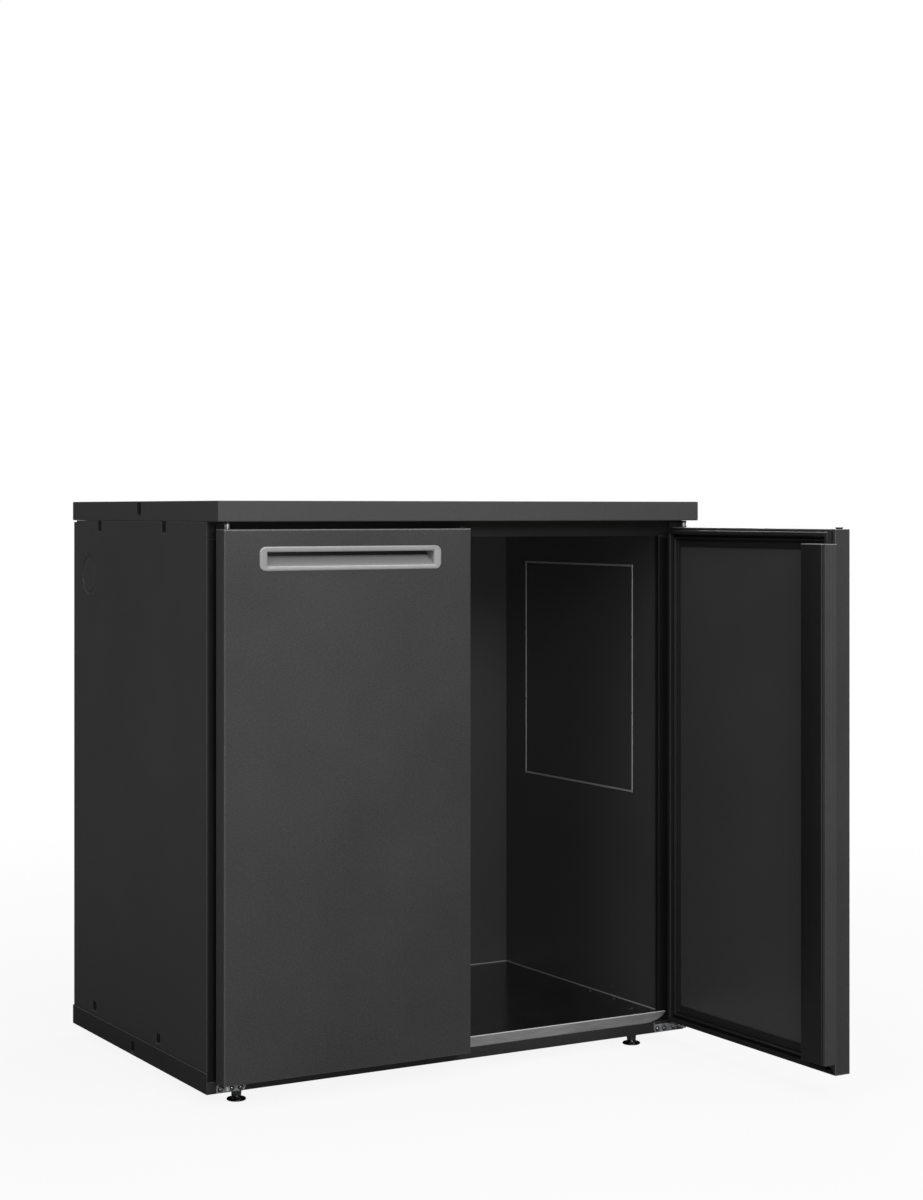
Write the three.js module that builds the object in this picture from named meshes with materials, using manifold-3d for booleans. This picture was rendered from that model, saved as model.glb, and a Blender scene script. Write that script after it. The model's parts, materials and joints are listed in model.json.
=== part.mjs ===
// Keg cooler: an insulated under-bar cabinet with two hinged doors under a slab worktop, cooled by an
// evaporator inside it. Millimetres, +Z up, the doors face -Y, the floor is z = 0.
// The right door stands open, as a quarter turn of its own group about the hinge axis.
import * as THREE from "three";
import { mergeVertices } from "three/addons/utils/BufferGeometryUtils.js";
import Module from "manifold-3d";

const wasm = await Module();
wasm.setup();

// Overall size
const WIDTH = 1060;
const DEPTH = 730;
const HEIGHT = 1100;
const GAP = 0.3;
const SIMPLIFY_TOLERANCE = 0.01;

// Feet, base tray and worktop
const FOOT_HEIGHT = 22;
const FOOT_RADIUS = 18;
const FOOT_HEXAGON = 10.3;
const FOOT_STUD_RADIUS = 5;
const FOOT_STUD_TOP = 46;
const BOSS_RADIUS = 9;
const BOSS_HEIGHT = 13;
const FOOT_LEFT_X = -460.7;
const FOOT_RIGHT_X = 417;
const FOOT_FRONT_Y = 73;
const FOOT_BACK_Y = 690;
const BASE_HEIGHT = 38;
const BASE_FRONT_Y = 50;
const BASE_FRONT_HEIGHT = 21.7;
const WORKTOP_THICK = 38;
const WORKTOP_SHEET = 1.5;
const WORKTOP_RETURN = 20;
const SHEET = 1.2;
const LINER_SHEET = 1;
const FOLD_RADIUS = 1.8;

// Walls
const SIDE_PLANE_X = 528.5;
const SIDE_FRONT_Y = 54;
const SIDE_BACK_Y = 727;
const REAR_PLANE_Y = 728.5;
const PANEL_RETURN = 24;
const NOTCH_HEIGHT = 3;
const REAR_RETURN = 15;
const INNER_X = 474;
const INNER_BACK_Y = 654;
const INNER_FLOOR_Z = 64;
const INNER_CEILING_Z = 1031;

// Front frame and sill
const FRAME_FRONT_Y = 52;
const FRAME_SHEET = 1.7;
const FRAME_BACK_Y = 64;
const JAMB_INNER_X = 470;
const FRAME_OUTER_X = 527;
const SILL_SHEET = 1.5;
const SILL_END_X = 486;
const SILL_TAPER_X = 440;
const SILL_BOTTOM_Z = 44;
const JAMB_FOOT_X = 434;

// Doors: the right one is worked out closed, and the left one is its mirror image
const DOOR_GAP = 7;
const DOOR_OUTER_X = 518;
const DOOR_BOTTOM_Z = 45;
const DOOR_TOP_Z = 1048;
const DOOR_THICK = 35;
const DOOR_RETURN = 14;
const DOOR_FOLD_RADIUS = 2.5;
const HINGE_X = 505.3;
const HINGE_Y = 15.3;
const OPEN_ANGLE = Math.PI / 2;
const DOOR_X0 = DOOR_GAP / 2;

// Recessed handle
const HANDLE = { x0: 69, x1: 448, z0: 972, z1: 1016.5, radius: 12 };
const HANDLE_MOUTH = { x0: 85, x1: 432, z0: 980, z1: 1006.5 };
const HANDLE_BODY = { x0: 80, x1: 437, z0: 976, z1: 1014, depth: 30.5 };
const HANDLE_RIM = 1.5;
const HANDLE_RAMP = { y: 26, rise: 18 };
const HANDLE_LIP = { y: 7, z: 1011.5 };
const HANDLE_BACK_Y = 28.5;

// Meeting profile and its seal on each door's free edge. The gap between the two seals widens towards the
// front, so that either door swings out past the other
const PROFILE_WIDTH = 60.5;
const PROFILE_BACK_Y = 70;
const PROFILE_WALL = 2;
const PROFILE_BOTTOM_Z = 68;
const PROFILE_TOP_Z = 1021;
const RIGHT_PROFILE_X = 0.5;
const RIGHT_SEAL_TIP = { front: -4.9, back: -6.6 };
const LEFT_PROFILE_X = 16.9;
const LEFT_SEAL_TIP = { front: 9.9, back: 7.6 };
const SEAL_FRONT_Y = 38;
const SEAL_BACK_Y = 67;
const SEAL_RIBS = 4;
const RIB_DEPTH = 1.6;

// Gasket round the door's other edges: a flat mat, a bellows along its outside and a low lip inside it
const MAT = { thick: 3, inset: 1.5, side: 32, top: 38, bottom: 39 };
const BELLOWS = { outer: 6, inner: 14, y: 51 };
const LIP = { outer: 19, inner: 23, y: 45 };
const LOW_BELLOWS_Y = 49.5;

// Service port in the right wall, and the round ports in the outer side panels
const PORT = { y0: 151, y1: 572, z0: 498, z1: 970 };
const PORT_TRIM = 3.7;
const PORT_TRIM_DEPTH = 2;
const PORT_TRIM_PROUD = 0.8;
const SIDE_PORT = { y: 638, z: 953, radius: 40.6, depth: 4 };

// Shallow sockets for the plugs over the panel locks: y, lowest z and highest z in each part's side face
const LOCK_WIDTH = 20;
const LOCK_DEPTH = 3.5;
const PANEL_LOCKS = [
  { y: 583, z0: 1039, z1: 1062 },
  { y: 253, z0: 1039, z1: 1062 },
  { y: 611, z0: 69, z1: 88 },
  { y: 280, z0: 69, z1: 88 },
];
const BASE_LOCK = { y: 405, z0: 27, z1: 49 };
const WORKTOP_LOCK = { y: 372, z0: 1072, z1: 1098 };

// Cooling unit on the left wall
const UNIT = { x0: -473.7, x1: -379, y0: 160, y1: 560, z0: 540, z1: 960 };
const INTAKE = { z0: 575, z1: 740, pitch: 20, height: 8, inset: 40 };
const FAN_Z = 850;
const FAN_FRONT_Y = 262;
const FAN_REAR_Y = 458;
const FAN_HOLE_RADIUS = 76;
const BLADE_RADIUS = 70;
const BLADE_ROOT = 18;
const HUB_RADIUS = 22;
const BLADE_PITCH = 25;
const GUARD_RINGS = [26, 53, 80];
const COIL = { x0: -470, x1: -430, y0: 178, y1: 540, z0: 580, z1: 940 };
const COIL_FINS = 18;
const TRAY = { x0: -472, x1: -424, y0: 172, y1: 550, z0: 543, z1: 562 };
const DRAIN = { x: -455, y: 520, radius: 8, outletZ: 12 };
const SUCTION = { x: -455, z: 620, radius: 6 };
const LIQUID = { x: -436, z: 620, radius: 3.2 };
const GLAND = { x: -400, z: 620, radius: 8, bore: 4 };
const RECESS = { x0: -468, x1: -376, z0: 575, z1: 665, y: 698 };
const THERMOSTAT = { x: -426, y: 138, z: 760 };

// Hinge hardware
const ARM_TOP_Z = 38.5;
const ARM_THICK = 3;
const ARM_RADIUS = 6;
const UPPER_ARM_TOP_Z = 1061.5;
const UPPER_ARM_THICK = 4;
const LOWER_PLATE = { x0: 458, x1: 511.3 };
const UPPER_PLATE = { x0: 494, x1: 511.3 };
const ARM_ROOT_X = 486;
const PIN_RADIUS = 4;
const PIN_SHOULDER = 5.5;
const BUSH_RADIUS = 8;
const SOCKET_DEPTH = 14;

const BASE_TOP_Z = FOOT_HEIGHT + BASE_HEIGHT;
const WORKTOP_Z = HEIGHT - WORKTOP_THICK;
const PANEL_Z0 = BASE_TOP_Z + GAP;
const PANEL_Z1 = WORKTOP_Z - GAP;

// Finishes seen on the object
const COATED = { color: 0x3c3c3c, roughness: 0.5, metalness: 0.2 };
const DARK_COATED = { color: 0x202020, roughness: 0.5, metalness: 0.2 };
const LINER = { color: 0x2a2a2a, roughness: 0.45, metalness: 0.2 };
const FOAM = { color: 0xd8cfa8, roughness: 0.95, metalness: 0 };
const BOARD = { color: 0xa58a63, roughness: 0.9, metalness: 0 };
const STAINLESS = { color: 0xb0b0b0, roughness: 0.25, metalness: 1 };
const ZINC = { color: 0xa8acb0, roughness: 0.35, metalness: 1 };
const HANDLE_GREY = { color: 0x939393, roughness: 0.4, metalness: 0.6 };
const BLACK_PLASTIC = { color: 0x141414, roughness: 0.45, metalness: 0 };
const SEAL_GREY = { color: 0x444444, roughness: 0.7, metalness: 0 };
const RUBBER = { color: 0x101010, roughness: 0.8, metalness: 0 };
const COPPER = { color: 0xb87333, roughness: 0.35, metalness: 1 };
const ALUMINIUM = { color: 0xc8ccd0, roughness: 0.4, metalness: 1 };

// A closed three.js geometry as a solid that can be joined and cut. Its points are rounded to a micrometre,
// so that faces meant to lie in one plane do
function solid(geometry) {
  geometry.deleteAttribute("normal");
  geometry.deleteAttribute("uv");
  const points = geometry.getAttribute("position").array;
  points.forEach((value, i) => {
    points[i] = Math.round(value * 1000) / 1000;
  });
  const merged = mergeVertices(geometry, 1e-4);
  const index = merged.index.array;
  const kept = [];
  for (let i = 0; i < index.length; i += 3) {
    const [a, b, c] = [index[i], index[i + 1], index[i + 2]];
    if (a !== b && b !== c && c !== a) {
      kept.push(a, b, c);
    }
  }
  const vertProperties = new Float32Array(merged.attributes.position.array);
  const triVerts = new Uint32Array(kept);
  return new wasm.Manifold(new wasm.Mesh({ numProp: 3, vertProperties, triVerts }));
}

// An upright block between two corners
function block(x0, x1, y0, y1, z0, z1) {
  const box = new THREE.BoxGeometry(x1 - x0, y1 - y0, z1 - z0);
  box.translate((x0 + x1) / 2, (y0 + y1) / 2, (z0 + z1) / 2);
  return solid(box);
}

// A shape in the plane across an axis, (y, z) for x, (x, z) for y and (x, y) for z, drawn out along it
function prism(shape, axis, from, to, curveSegments = 12) {
  const [X, Y, Z] = [[1, 0, 0], [0, 1, 0], [0, 0, 1]].map((v) => new THREE.Vector3(...v));
  const bases = { x: [Y, Z, X], y: [X, Z, Y.clone().negate()], z: [X, Y, Z] };
  const depth = to - from;
  const geometry = new THREE.ExtrudeGeometry(shape, { depth, bevelEnabled: false, curveSegments });
  geometry.applyMatrix4(new THREE.Matrix4().makeBasis(...bases[axis]));
  const start = { x: [from, 0, 0], y: [0, to, 0], z: [0, 0, from] };
  geometry.translate(...start[axis]);
  return solid(geometry);
}

function polygon(points) {
  return new THREE.Shape(points.map(([u, v]) => new THREE.Vector2(u, v)));
}

function circle(u, v, radius) {
  return new THREE.Shape().absarc(u, v, radius, 0, 2 * Math.PI);
}

function roundedRectangle(u0, u1, v0, v1, radius) {
  const shape = new THREE.Shape();
  shape.absarc(u1 - radius, v0 + radius, radius, -Math.PI / 2, 0);
  shape.absarc(u1 - radius, v1 - radius, radius, 0, Math.PI / 2);
  shape.absarc(u0 + radius, v1 - radius, radius, Math.PI / 2, Math.PI);
  shape.absarc(u0 + radius, v0 + radius, radius, Math.PI, 1.5 * Math.PI);
  return shape;
}

// A solid of revolution about the Z axis from (radius, z) pairs that start and end on the axis
function turned(profile, segments = 24) {
  const geometry = new THREE.LatheGeometry(profile.map(([r, z]) => new THREE.Vector2(r, z)), segments);
  geometry.rotateX(Math.PI / 2);
  return solid(geometry);
}

// A slab whose front face at y0 has all its edges folded over with a radius
function foldedSlab(x0, x1, y0, y1, z0, z1, radius) {
  const face = polygon([[x0 + radius, z0 + radius], [x1 - radius, z0 + radius],
    [x1 - radius, z1 - radius], [x0 + radius, z1 - radius]]);
  const depth = (y1 - y0) / 2;
  const geometry = new THREE.ExtrudeGeometry(face, {
    depth, bevelThickness: radius, bevelSize: radius, bevelSegments: 3,
  });
  geometry.rotateX(Math.PI / 2);
  geometry.translate(0, y0 + radius + depth, 0);
  return solid(geometry).add(block(x0, x1, y0 + radius + depth / 2, y1, z0, z1));
}

// The mirror image of a solid in the plane x = 0
function mirrored(body) {
  const { vertProperties, triVerts } = body.getMesh();
  const flipped = vertProperties.map((value, i) => (i % 3 === 0 ? -value : value));
  const turnedOver = new Uint32Array(triVerts.length);
  for (let i = 0; i < triVerts.length; i += 3) {
    turnedOver.set([triVerts[i], triVerts[i + 2], triVerts[i + 1]], i);
  }
  return new wasm.Manifold(new wasm.Mesh({ numProp: 3, vertProperties: flipped, triVerts: turnedOver }));
}

function joined(bodies) {
  return bodies.reduce((sum, body) => sum.add(body));
}

function cut(body, tools) {
  return tools.reduce((rest, tool) => rest.subtract(tool), body);
}

// A solid and its mirror image, to cut or join both sides of a piece alike
function pair(body) {
  return body.add(mirrored(body));
}

function addPiece(parent, name, body, finish) {
  const { vertProperties, triVerts } = body.simplify(SIMPLIFY_TOLERANCE).getMesh();
  const geometry = new THREE.BufferGeometry();
  geometry.setAttribute("position", new THREE.BufferAttribute(new Float32Array(vertProperties), 3));
  geometry.setIndex(new THREE.BufferAttribute(new Uint32Array(triVerts), 1));
  geometry.computeVertexNormals();
  const mesh = new THREE.Mesh(geometry, new THREE.MeshStandardMaterial(finish));
  mesh.name = name;
  parent.add(mesh);
  return mesh;
}

// The right piece and its mirror image on the left
function addPair(parent, name, body, finish) {
  addPiece(parent, `right_${name}`, body, finish);
  addPiece(parent, `left_${name}`, mirrored(body), finish);
}

// The socket of a lock plug, in the right side face whose plane is at x
function lockSlot(lock, x) {
  return block(x - LOCK_DEPTH, x + 1, lock.y - LOCK_WIDTH / 2, lock.y + LOCK_WIDTH / 2, lock.z0, lock.z1);
}

const footPlaces = [FOOT_LEFT_X, FOOT_RIGHT_X].flatMap((x) => [[x, FOOT_FRONT_Y], [x, FOOT_BACK_Y]]);
const drainBore = prism(circle(DRAIN.x, DRAIN.y, DRAIN.radius + 0.6), "z", 0, UNIT.z0 + 5);

// Worktop: a folded steel pan over a board
function buildWorktop(parent) {
  const x = WIDTH / 2;
  const [z0, z1] = [WORKTOP_Z, HEIGHT];
  const t = WORKTOP_SHEET;
  const slots = pair(lockSlot(WORKTOP_LOCK, x));
  const [r, edge] = [FOLD_RADIUS, WORKTOP_RETURN];
  const outside = new THREE.ExtrudeGeometry(
    polygon([[-x + r, r], [x - r, r], [x - r, DEPTH - r], [-x + r, DEPTH - r]]),
    { depth: WORKTOP_THICK - 2 * r, bevelThickness: r, bevelSize: r, bevelSegments: 3 },
  );
  outside.translate(0, 0, z0 + r);
  const skin = cut(solid(outside), [
    block(-x + t, x - t, t, DEPTH - t, z0 + t, z1 - t),
    block(-x + edge, x - edge, edge, DEPTH - edge, z0 - 1, z0 + 2 * t),
    slots,
  ]);
  addPiece(parent, "worktop_skin", skin, COATED);
  const inset = t + GAP;
  const core = block(-x + inset, x - inset, inset, DEPTH - inset, z0 + inset, z1 - inset);
  addPiece(parent, "worktop_core", core.subtract(slots), BOARD);
}

// Base tray with a folded ledge that carries the walls, and a threaded boss over each foot
function buildBase(parent) {
  const x = WIDTH / 2;
  const [y0, y1] = [BASE_FRONT_Y, DEPTH];
  const [z0, z1] = [FOOT_HEIGHT, BASE_TOP_Z];
  const ledgeY = FRAME_BACK_Y + 0.6;
  const atFeet = (radius, from, to) => footPlaces.map(([fx, fy]) => (
    prism(circle(fx, fy, radius), "z", from, to, 6)));
  const bosses = atFeet(BOSS_RADIUS, z0 + 0.5, z0 + BOSS_HEIGHT);
  const studBores = atFeet(FOOT_STUD_RADIUS + 0.4, 0, z1);
  const [inX, inY] = [x - SHEET, y1 - SHEET];
  const tray = cut(block(-x, x, y0, y1, z0, z1), [
    block(-inX, inX, y0 + SHEET, inY, z0 + SHEET, z1 - SHEET),
    block(-x + PANEL_RETURN, x - PANEL_RETURN, y0 - 1, y1 - PANEL_RETURN, z0 + BASE_FRONT_HEIGHT, z1 + 1),
    block(-inX, inX, y0 - 1, ledgeY, z0 + BASE_FRONT_HEIGHT, z1 + 1),
  ]);
  const base = cut(joined([tray, ...bosses]), [...studBores, drainBore, pair(lockSlot(BASE_LOCK, x))]);
  addPiece(parent, "base_frame", base, COATED);

  const side = x - SHEET - GAP;
  const [low, back] = [z0 + SHEET + GAP, y1 - SHEET - GAP];
  const foam = joined([
    block(-side, side, y0 + SHEET + GAP, back, low, SILL_BOTTOM_Z - 2),
    block(-side, side, ledgeY, back, low, z1 - SHEET - GAP),
    block(-x + PANEL_RETURN + GAP, x - PANEL_RETURN - GAP, ledgeY, y1 - PANEL_RETURN - GAP, low, z1),
    block(-INNER_X + 1, INNER_X - 1, ledgeY, INNER_BACK_Y - 1, low, INNER_FLOOR_Z - SILL_SHEET - GAP),
    block(-JAMB_INNER_X + 2 * GAP, JAMB_INNER_X - 2 * GAP, y0 + SILL_SHEET + GAP, ledgeY + 1,
      low, INNER_FLOOR_Z - SILL_SHEET - GAP),
  ]);
  const jambFeet = pair(block(JAMB_FOOT_X - GAP, JAMB_INNER_X, y0, FRAME_FRONT_Y + FRAME_SHEET + GAP,
    SILL_BOTTOM_Z, INNER_FLOOR_Z));
  const bossPockets = atFeet(BOSS_RADIUS + 0.4, 0, FOOT_STUD_TOP + 8);
  addPiece(parent, "floor_insulation",
    cut(foam, [...bossPockets, jambFeet, drainBore, pair(lockSlot(BASE_LOCK, x))]), FOAM);
}

// Right wall of three layers: an outer pan, insulation and a liner with the service port. The left one
// mirrors it, with a round port in the outer pan instead
function buildSideWalls(parent) {
  const [x, t] = [SIDE_PLANE_X, SHEET];
  const slots = PANEL_LOCKS.map((lock) => lockSlot(lock, x));
  const { depth, radius } = SIDE_PORT;
  const portCircle = (r) => circle(SIDE_PORT.y, SIDE_PORT.z, r);
  const roundPort = mirrored(prism(portCircle(radius), "x", x - depth - GAP, x + 1));
  const cornerNotch = block(x - PANEL_RETURN - 1, x + 1, SIDE_BACK_Y - 15, SIDE_BACK_Y + 1,
    PANEL_Z1 - NOTCH_HEIGHT, PANEL_Z1 + 1);
  const panel = cut(block(x - PANEL_RETURN, x, SIDE_FRONT_Y, SIDE_BACK_Y, PANEL_Z0, PANEL_Z1), [
    block(x - PANEL_RETURN - 1, x - t, SIDE_FRONT_Y + t, SIDE_BACK_Y - t, PANEL_Z0 + t, PANEL_Z1 - t),
    cornerNotch, ...slots,
  ]);
  addPiece(parent, "right_side_panel", panel, COATED);
  addPiece(parent, "left_side_panel", mirrored(panel).subtract(roundPort), COATED);

  const foam = cut(
    block(INNER_X + LINER_SHEET + GAP, x - t - GAP, SIDE_FRONT_Y + t + GAP, SIDE_BACK_Y - t - GAP,
      PANEL_Z0 + t + GAP, PANEL_Z1 - t - GAP),
    [cornerNotch.translate([0, 0, -2]), ...slots],
  );
  const pocketBack = INNER_X + PORT_TRIM_DEPTH + GAP;
  const portPocket = block(INNER_X - 1, pocketBack, PORT.y0, PORT.y1, PORT.z0, PORT.z1);
  addPiece(parent, "right_wall_insulation", foam.subtract(portPocket), FOAM);
  addPiece(parent, "left_wall_insulation", mirrored(foam).subtract(roundPort), FOAM);

  const liner = block(INNER_X, INNER_X + LINER_SHEET, FRAME_BACK_Y + GAP, INNER_BACK_Y + LINER_SHEET,
    PANEL_Z0, INNER_CEILING_Z + LINER_SHEET);
  addPiece(parent, "right_liner", liner.subtract(portPocket), LINER);
  addPiece(parent, "left_liner", mirrored(liner), LINER);

  const cap = prism(portCircle(radius - GAP), "x", x - depth, x);
  addPiece(parent, "left_port_cap", mirrored(cap), COATED);
}

// Blanking panel of the service port in the right wall, in its bright trim
function buildServicePort(parent) {
  const { y0, y1, z0, z1 } = PORT;
  const plate = (inset, from, to) => block(from, to, y0 + inset, y1 - inset, z0 + inset, z1 - inset);
  const back = INNER_X + PORT_TRIM_DEPTH;
  const trim = plate(GAP, INNER_X - PORT_TRIM_PROUD, back)
    .subtract(plate(GAP + PORT_TRIM, INNER_X - 2, back + 1));
  addPiece(parent, "port_trim_frame", trim, STAINLESS);
  addPiece(parent, "port_blank_panel", plate(PORT_TRIM + 2 * GAP, INNER_X, back), LINER);
}

// Rear wall with a recess for the pipe and cable connections, and the ceiling
function buildRearAndCeiling(parent) {
  const t = SHEET;
  const returnX = SIDE_PLANE_X - PANEL_RETURN - 1;
  const rearX = INNER_X + LINER_SHEET;
  const yBack = REAR_PLANE_Y - t;
  const recess = (grow, y0, y1) => {
    const [low, high] = [RECESS.z0 - grow, RECESS.z1 + grow];
    return block(RECESS.x0 - grow, RECESS.x1 + grow, y0, y1, low, high);
  };
  const outer = block(-FRAME_OUTER_X, FRAME_OUTER_X, yBack - REAR_RETURN, REAR_PLANE_Y, PANEL_Z0, PANEL_Z1);
  const pan = cut(outer, [
    block(-WIDTH, WIDTH, 0, yBack, PANEL_Z0 + t, PANEL_Z1 - t),
    pair(block(returnX, WIDTH, 0, yBack, 0, HEIGHT)),
  ]);
  const plate = pan.add(recess(t, RECESS.y - t, yBack + t / 2));
  const pipeBores = [
    prism(circle(SUCTION.x, SUCTION.z, SUCTION.radius + 0.6), "y", 600, 740),
    prism(circle(LIQUID.x, LIQUID.z, LIQUID.radius + 0.6), "y", 600, 740),
  ];
  const glandBore = prism(circle(GLAND.x, GLAND.z, GLAND.radius + 0.5), "y", 680, 740);
  const cornerNotch = pair(block(FRAME_OUTER_X - PANEL_RETURN, FRAME_OUTER_X + 1, yBack - 1, REAR_PLANE_Y + 1,
    PANEL_Z1 - NOTCH_HEIGHT, PANEL_Z1 + 1));
  const panel = cut(plate, [recess(0, RECESS.y, REAR_PLANE_Y + 1), ...pipeBores, glandBore, cornerNotch]);
  addPiece(parent, "rear_panel", panel, COATED);

  const foamTop = PANEL_Z1 - t - GAP;
  const [foamFront, foamBack] = [INNER_BACK_Y + LINER_SHEET + GAP, SIDE_BACK_Y - t - GAP];
  const rearFoam = cut(block(-rearX, rearX, foamFront, foamBack, PANEL_Z0 + t + GAP, foamTop),
    [recess(t + GAP, RECESS.y - t - GAP, REAR_PLANE_Y), ...pipeBores, glandBore]);
  addPiece(parent, "rear_insulation", rearFoam, FOAM);
  const rearLiner = block(-INNER_X + GAP, INNER_X - GAP, INNER_BACK_Y, INNER_BACK_Y + LINER_SHEET,
    INNER_FLOOR_Z + GAP, INNER_CEILING_Z - GAP);
  addPiece(parent, "rear_liner", cut(rearLiner, pipeBores), LINER);

  const ceilingFoam = block(-rearX, rearX, FRAME_FRONT_Y + FRAME_SHEET + GAP, INNER_BACK_Y + LINER_SHEET,
    INNER_CEILING_Z + 2, foamTop);
  addPiece(parent, "ceiling_insulation", ceilingFoam, FOAM);
  const ceilingLiner = block(-INNER_X + GAP, INNER_X - GAP, FRAME_BACK_Y + GAP, INNER_BACK_Y - GAP,
    INNER_CEILING_Z, INNER_CEILING_Z + LINER_SHEET);
  addPiece(parent, "ceiling_liner", ceilingLiner, LINER);
}

// Front frame: two jambs and a header, each a folded strip that turns back into the cabinet. The foot of
// each jamb closes the corner that the sill leaves open where it tapers
function buildFrontFrame(parent) {
  const [y0, y1, t] = [FRAME_FRONT_Y, FRAME_BACK_Y, FRAME_SHEET];
  const [z0, z1] = [SILL_BOTTOM_Z + GAP, INNER_CEILING_Z - GAP];
  const jamb = joined([
    block(JAMB_INNER_X, FRAME_OUTER_X, y0, y0 + t, z0, z1),
    block(JAMB_INNER_X, JAMB_INNER_X + t, y0, y1, z0, z1),
    block(JAMB_FOOT_X, JAMB_INNER_X + t, y0, y0 + t, z0, INNER_FLOOR_Z - SILL_SHEET - GAP),
  ]);
  addPair(parent, "jamb", jamb, DARK_COATED);
  const header = block(-FRAME_OUTER_X, FRAME_OUTER_X, y0, y0 + t, INNER_CEILING_Z, PANEL_Z1)
    .add(block(-INNER_X, INNER_X, y0, y1, INNER_CEILING_Z, INNER_CEILING_Z + t));
  addPiece(parent, "header_frame", header, DARK_COATED);
}

// Polished floor pan that folds down over the front as a sill, with its ends swept up
function buildFloorPan(parent) {
  const [top, t, y0] = [INNER_FLOOR_Z, SILL_SHEET, BASE_FRONT_Y];
  const side = INNER_X - GAP;
  const nose = JAMB_INNER_X - GAP;
  const strip = new THREE.Shape();
  strip.moveTo(-SILL_TAPER_X, SILL_BOTTOM_Z);
  strip.lineTo(SILL_TAPER_X, SILL_BOTTOM_Z);
  strip.quadraticCurveTo(SILL_TAPER_X + 34, SILL_BOTTOM_Z + 3, SILL_END_X, top - 1);
  strip.lineTo(SILL_END_X, top);
  strip.lineTo(-SILL_END_X, top);
  strip.lineTo(-SILL_END_X, top - 1);
  strip.quadraticCurveTo(-SILL_TAPER_X - 34, SILL_BOTTOM_Z + 3, -SILL_TAPER_X, SILL_BOTTOM_Z);
  const pan = joined([
    block(-side, side, FRAME_BACK_Y + GAP, INNER_BACK_Y - GAP, top - t, top),
    block(-nose, nose, y0 + t / 2, FRAME_BACK_Y + 1, top - t, top),
    prism(strip, "y", y0, y0 + t, 6),
  ]);
  addPiece(parent, "floor_pan", pan.subtract(drainBore), STAINLESS);
}

// Fixed hinge hardware: zinc brackets below and dark ones above, each with the riveted pin a door turns on
function buildHinges(parent) {
  const place = [HINGE_X, HINGE_Y, 0];
  const plateBack = BASE_FRONT_Y - GAP;
  const armBottom = ARM_TOP_Z - ARM_THICK;
  const [r, shoulder] = [PIN_RADIUS, PIN_SHOULDER];
  const arm = (rootX, endX, plane) => polygon([[rootX, plane], [HINGE_X - ARM_RADIUS, HINGE_Y],
    [endX, HINGE_Y], [endX, plane]]);
  const lowerPin = turned([[0, armBottom + 1], [r, armBottom + 1], [shoulder, ARM_TOP_Z - 0.5],
    [shoulder, DOOR_BOTTOM_Z - GAP], [r, DOOR_BOTTOM_Z - GAP], [r, 56], [0, 56]]).translate(place);
  const lower = joined([
    block(LOWER_PLATE.x0, LOWER_PLATE.x1, plateBack - 1.5, plateBack, FOOT_HEIGHT + 0.8, ARM_TOP_Z),
    prism(arm(ARM_ROOT_X, LOWER_PLATE.x1, plateBack), "z", armBottom, ARM_TOP_Z),
    prism(circle(HINGE_X, HINGE_Y, ARM_RADIUS), "z", armBottom, ARM_TOP_Z, 8),
    lowerPin,
  ]);
  addPair(parent, "lower_hinge", lower, ZINC);

  const tabBack = FRAME_FRONT_Y - GAP;
  const upperBottom = UPPER_ARM_TOP_Z - UPPER_ARM_THICK;
  const upperPin = turned([[0, 1037], [r, 1037], [r, upperBottom + 1], [0, upperBottom + 1]])
    .translate(place);
  const upper = joined([
    block(UPPER_PLATE.x0, UPPER_PLATE.x1, tabBack - 1.8, tabBack, DOOR_TOP_Z - 1.5, UPPER_ARM_TOP_Z),
    prism(arm(UPPER_PLATE.x0, UPPER_PLATE.x1, tabBack), "z", upperBottom, UPPER_ARM_TOP_Z),
    prism(circle(HINGE_X, HINGE_Y, ARM_RADIUS), "z", upperBottom, UPPER_ARM_TOP_Z, 8),
    upperPin,
  ]);
  addPair(parent, "upper_hinge", upper, DARK_COATED);
}

// Levelling foot: a disc, a hexagon to turn it by and a stud that screws into the base
function buildFeet(parent) {
  const r = FOOT_STUD_RADIUS;
  const disc = turned([[0, 0], [FOOT_RADIUS - 2, 0], [FOOT_RADIUS, 1.4], [FOOT_RADIUS, 3.4],
    [FOOT_RADIUS - 3, 5], [7, 6.2], [7, 9], [0, 9]], 24);
  const hexagon = turned([[0, 8], [FOOT_HEXAGON, 8], [FOOT_HEXAGON, FOOT_HEIGHT - GAP],
    [0, FOOT_HEIGHT - GAP]], 6);
  const top = FOOT_STUD_TOP;
  const stud = turned([[0, 20], [r, 20], [r, top - 1], [r - 1, top], [0, top]], 12);
  const foot = joined([disc, hexagon, stud]);
  for (const [side, x] of [["left", FOOT_LEFT_X], ["right", FOOT_RIGHT_X]]) {
    for (const [end, y] of [["front", FOOT_FRONT_Y], ["back", FOOT_BACK_Y]]) {
      addPiece(parent, `levelling_foot_${end}_${side}`, foot, BLACK_PLASTIC).position.set(x, y, 0);
    }
  }
}

// Folded cover of the cooling unit, with two fan holes and a row of intake slots
function buildUnitCover(parent) {
  const u = UNIT;
  const t = SHEET;
  const face = u.x1 - t;
  const through = (shape) => prism(shape, "x", face - 1, u.x1 + 1);
  const fanHoles = [FAN_FRONT_Y, FAN_REAR_Y].map((y) => through(circle(y, FAN_Z, FAN_HOLE_RADIUS)));
  const slots = [];
  for (let z = INTAKE.z0; z < INTAKE.z1; z += INTAKE.pitch) {
    slots.push(block(face - 1, u.x1 + 1, u.y0 + INTAKE.inset, u.y1 - INTAKE.inset, z, z + INTAKE.height));
  }
  const pipes = [SUCTION, LIQUID].map((p) => (
    prism(circle(p.x, p.z, p.radius + 0.6), "y", u.y1 - 5, u.y1 + 1)));
  const cover = cut(block(u.x0, u.x1, u.y0, u.y1, u.z0, u.z1), [
    block(u.x0 - 1, face, u.y0 + t, u.y1 - t, u.z0 + t, u.z1 - t),
    ...fanHoles, ...slots, ...pipes, drainBore,
  ]);
  addPiece(parent, "evaporator_cover", cover, ALUMINIUM);
}

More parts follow.
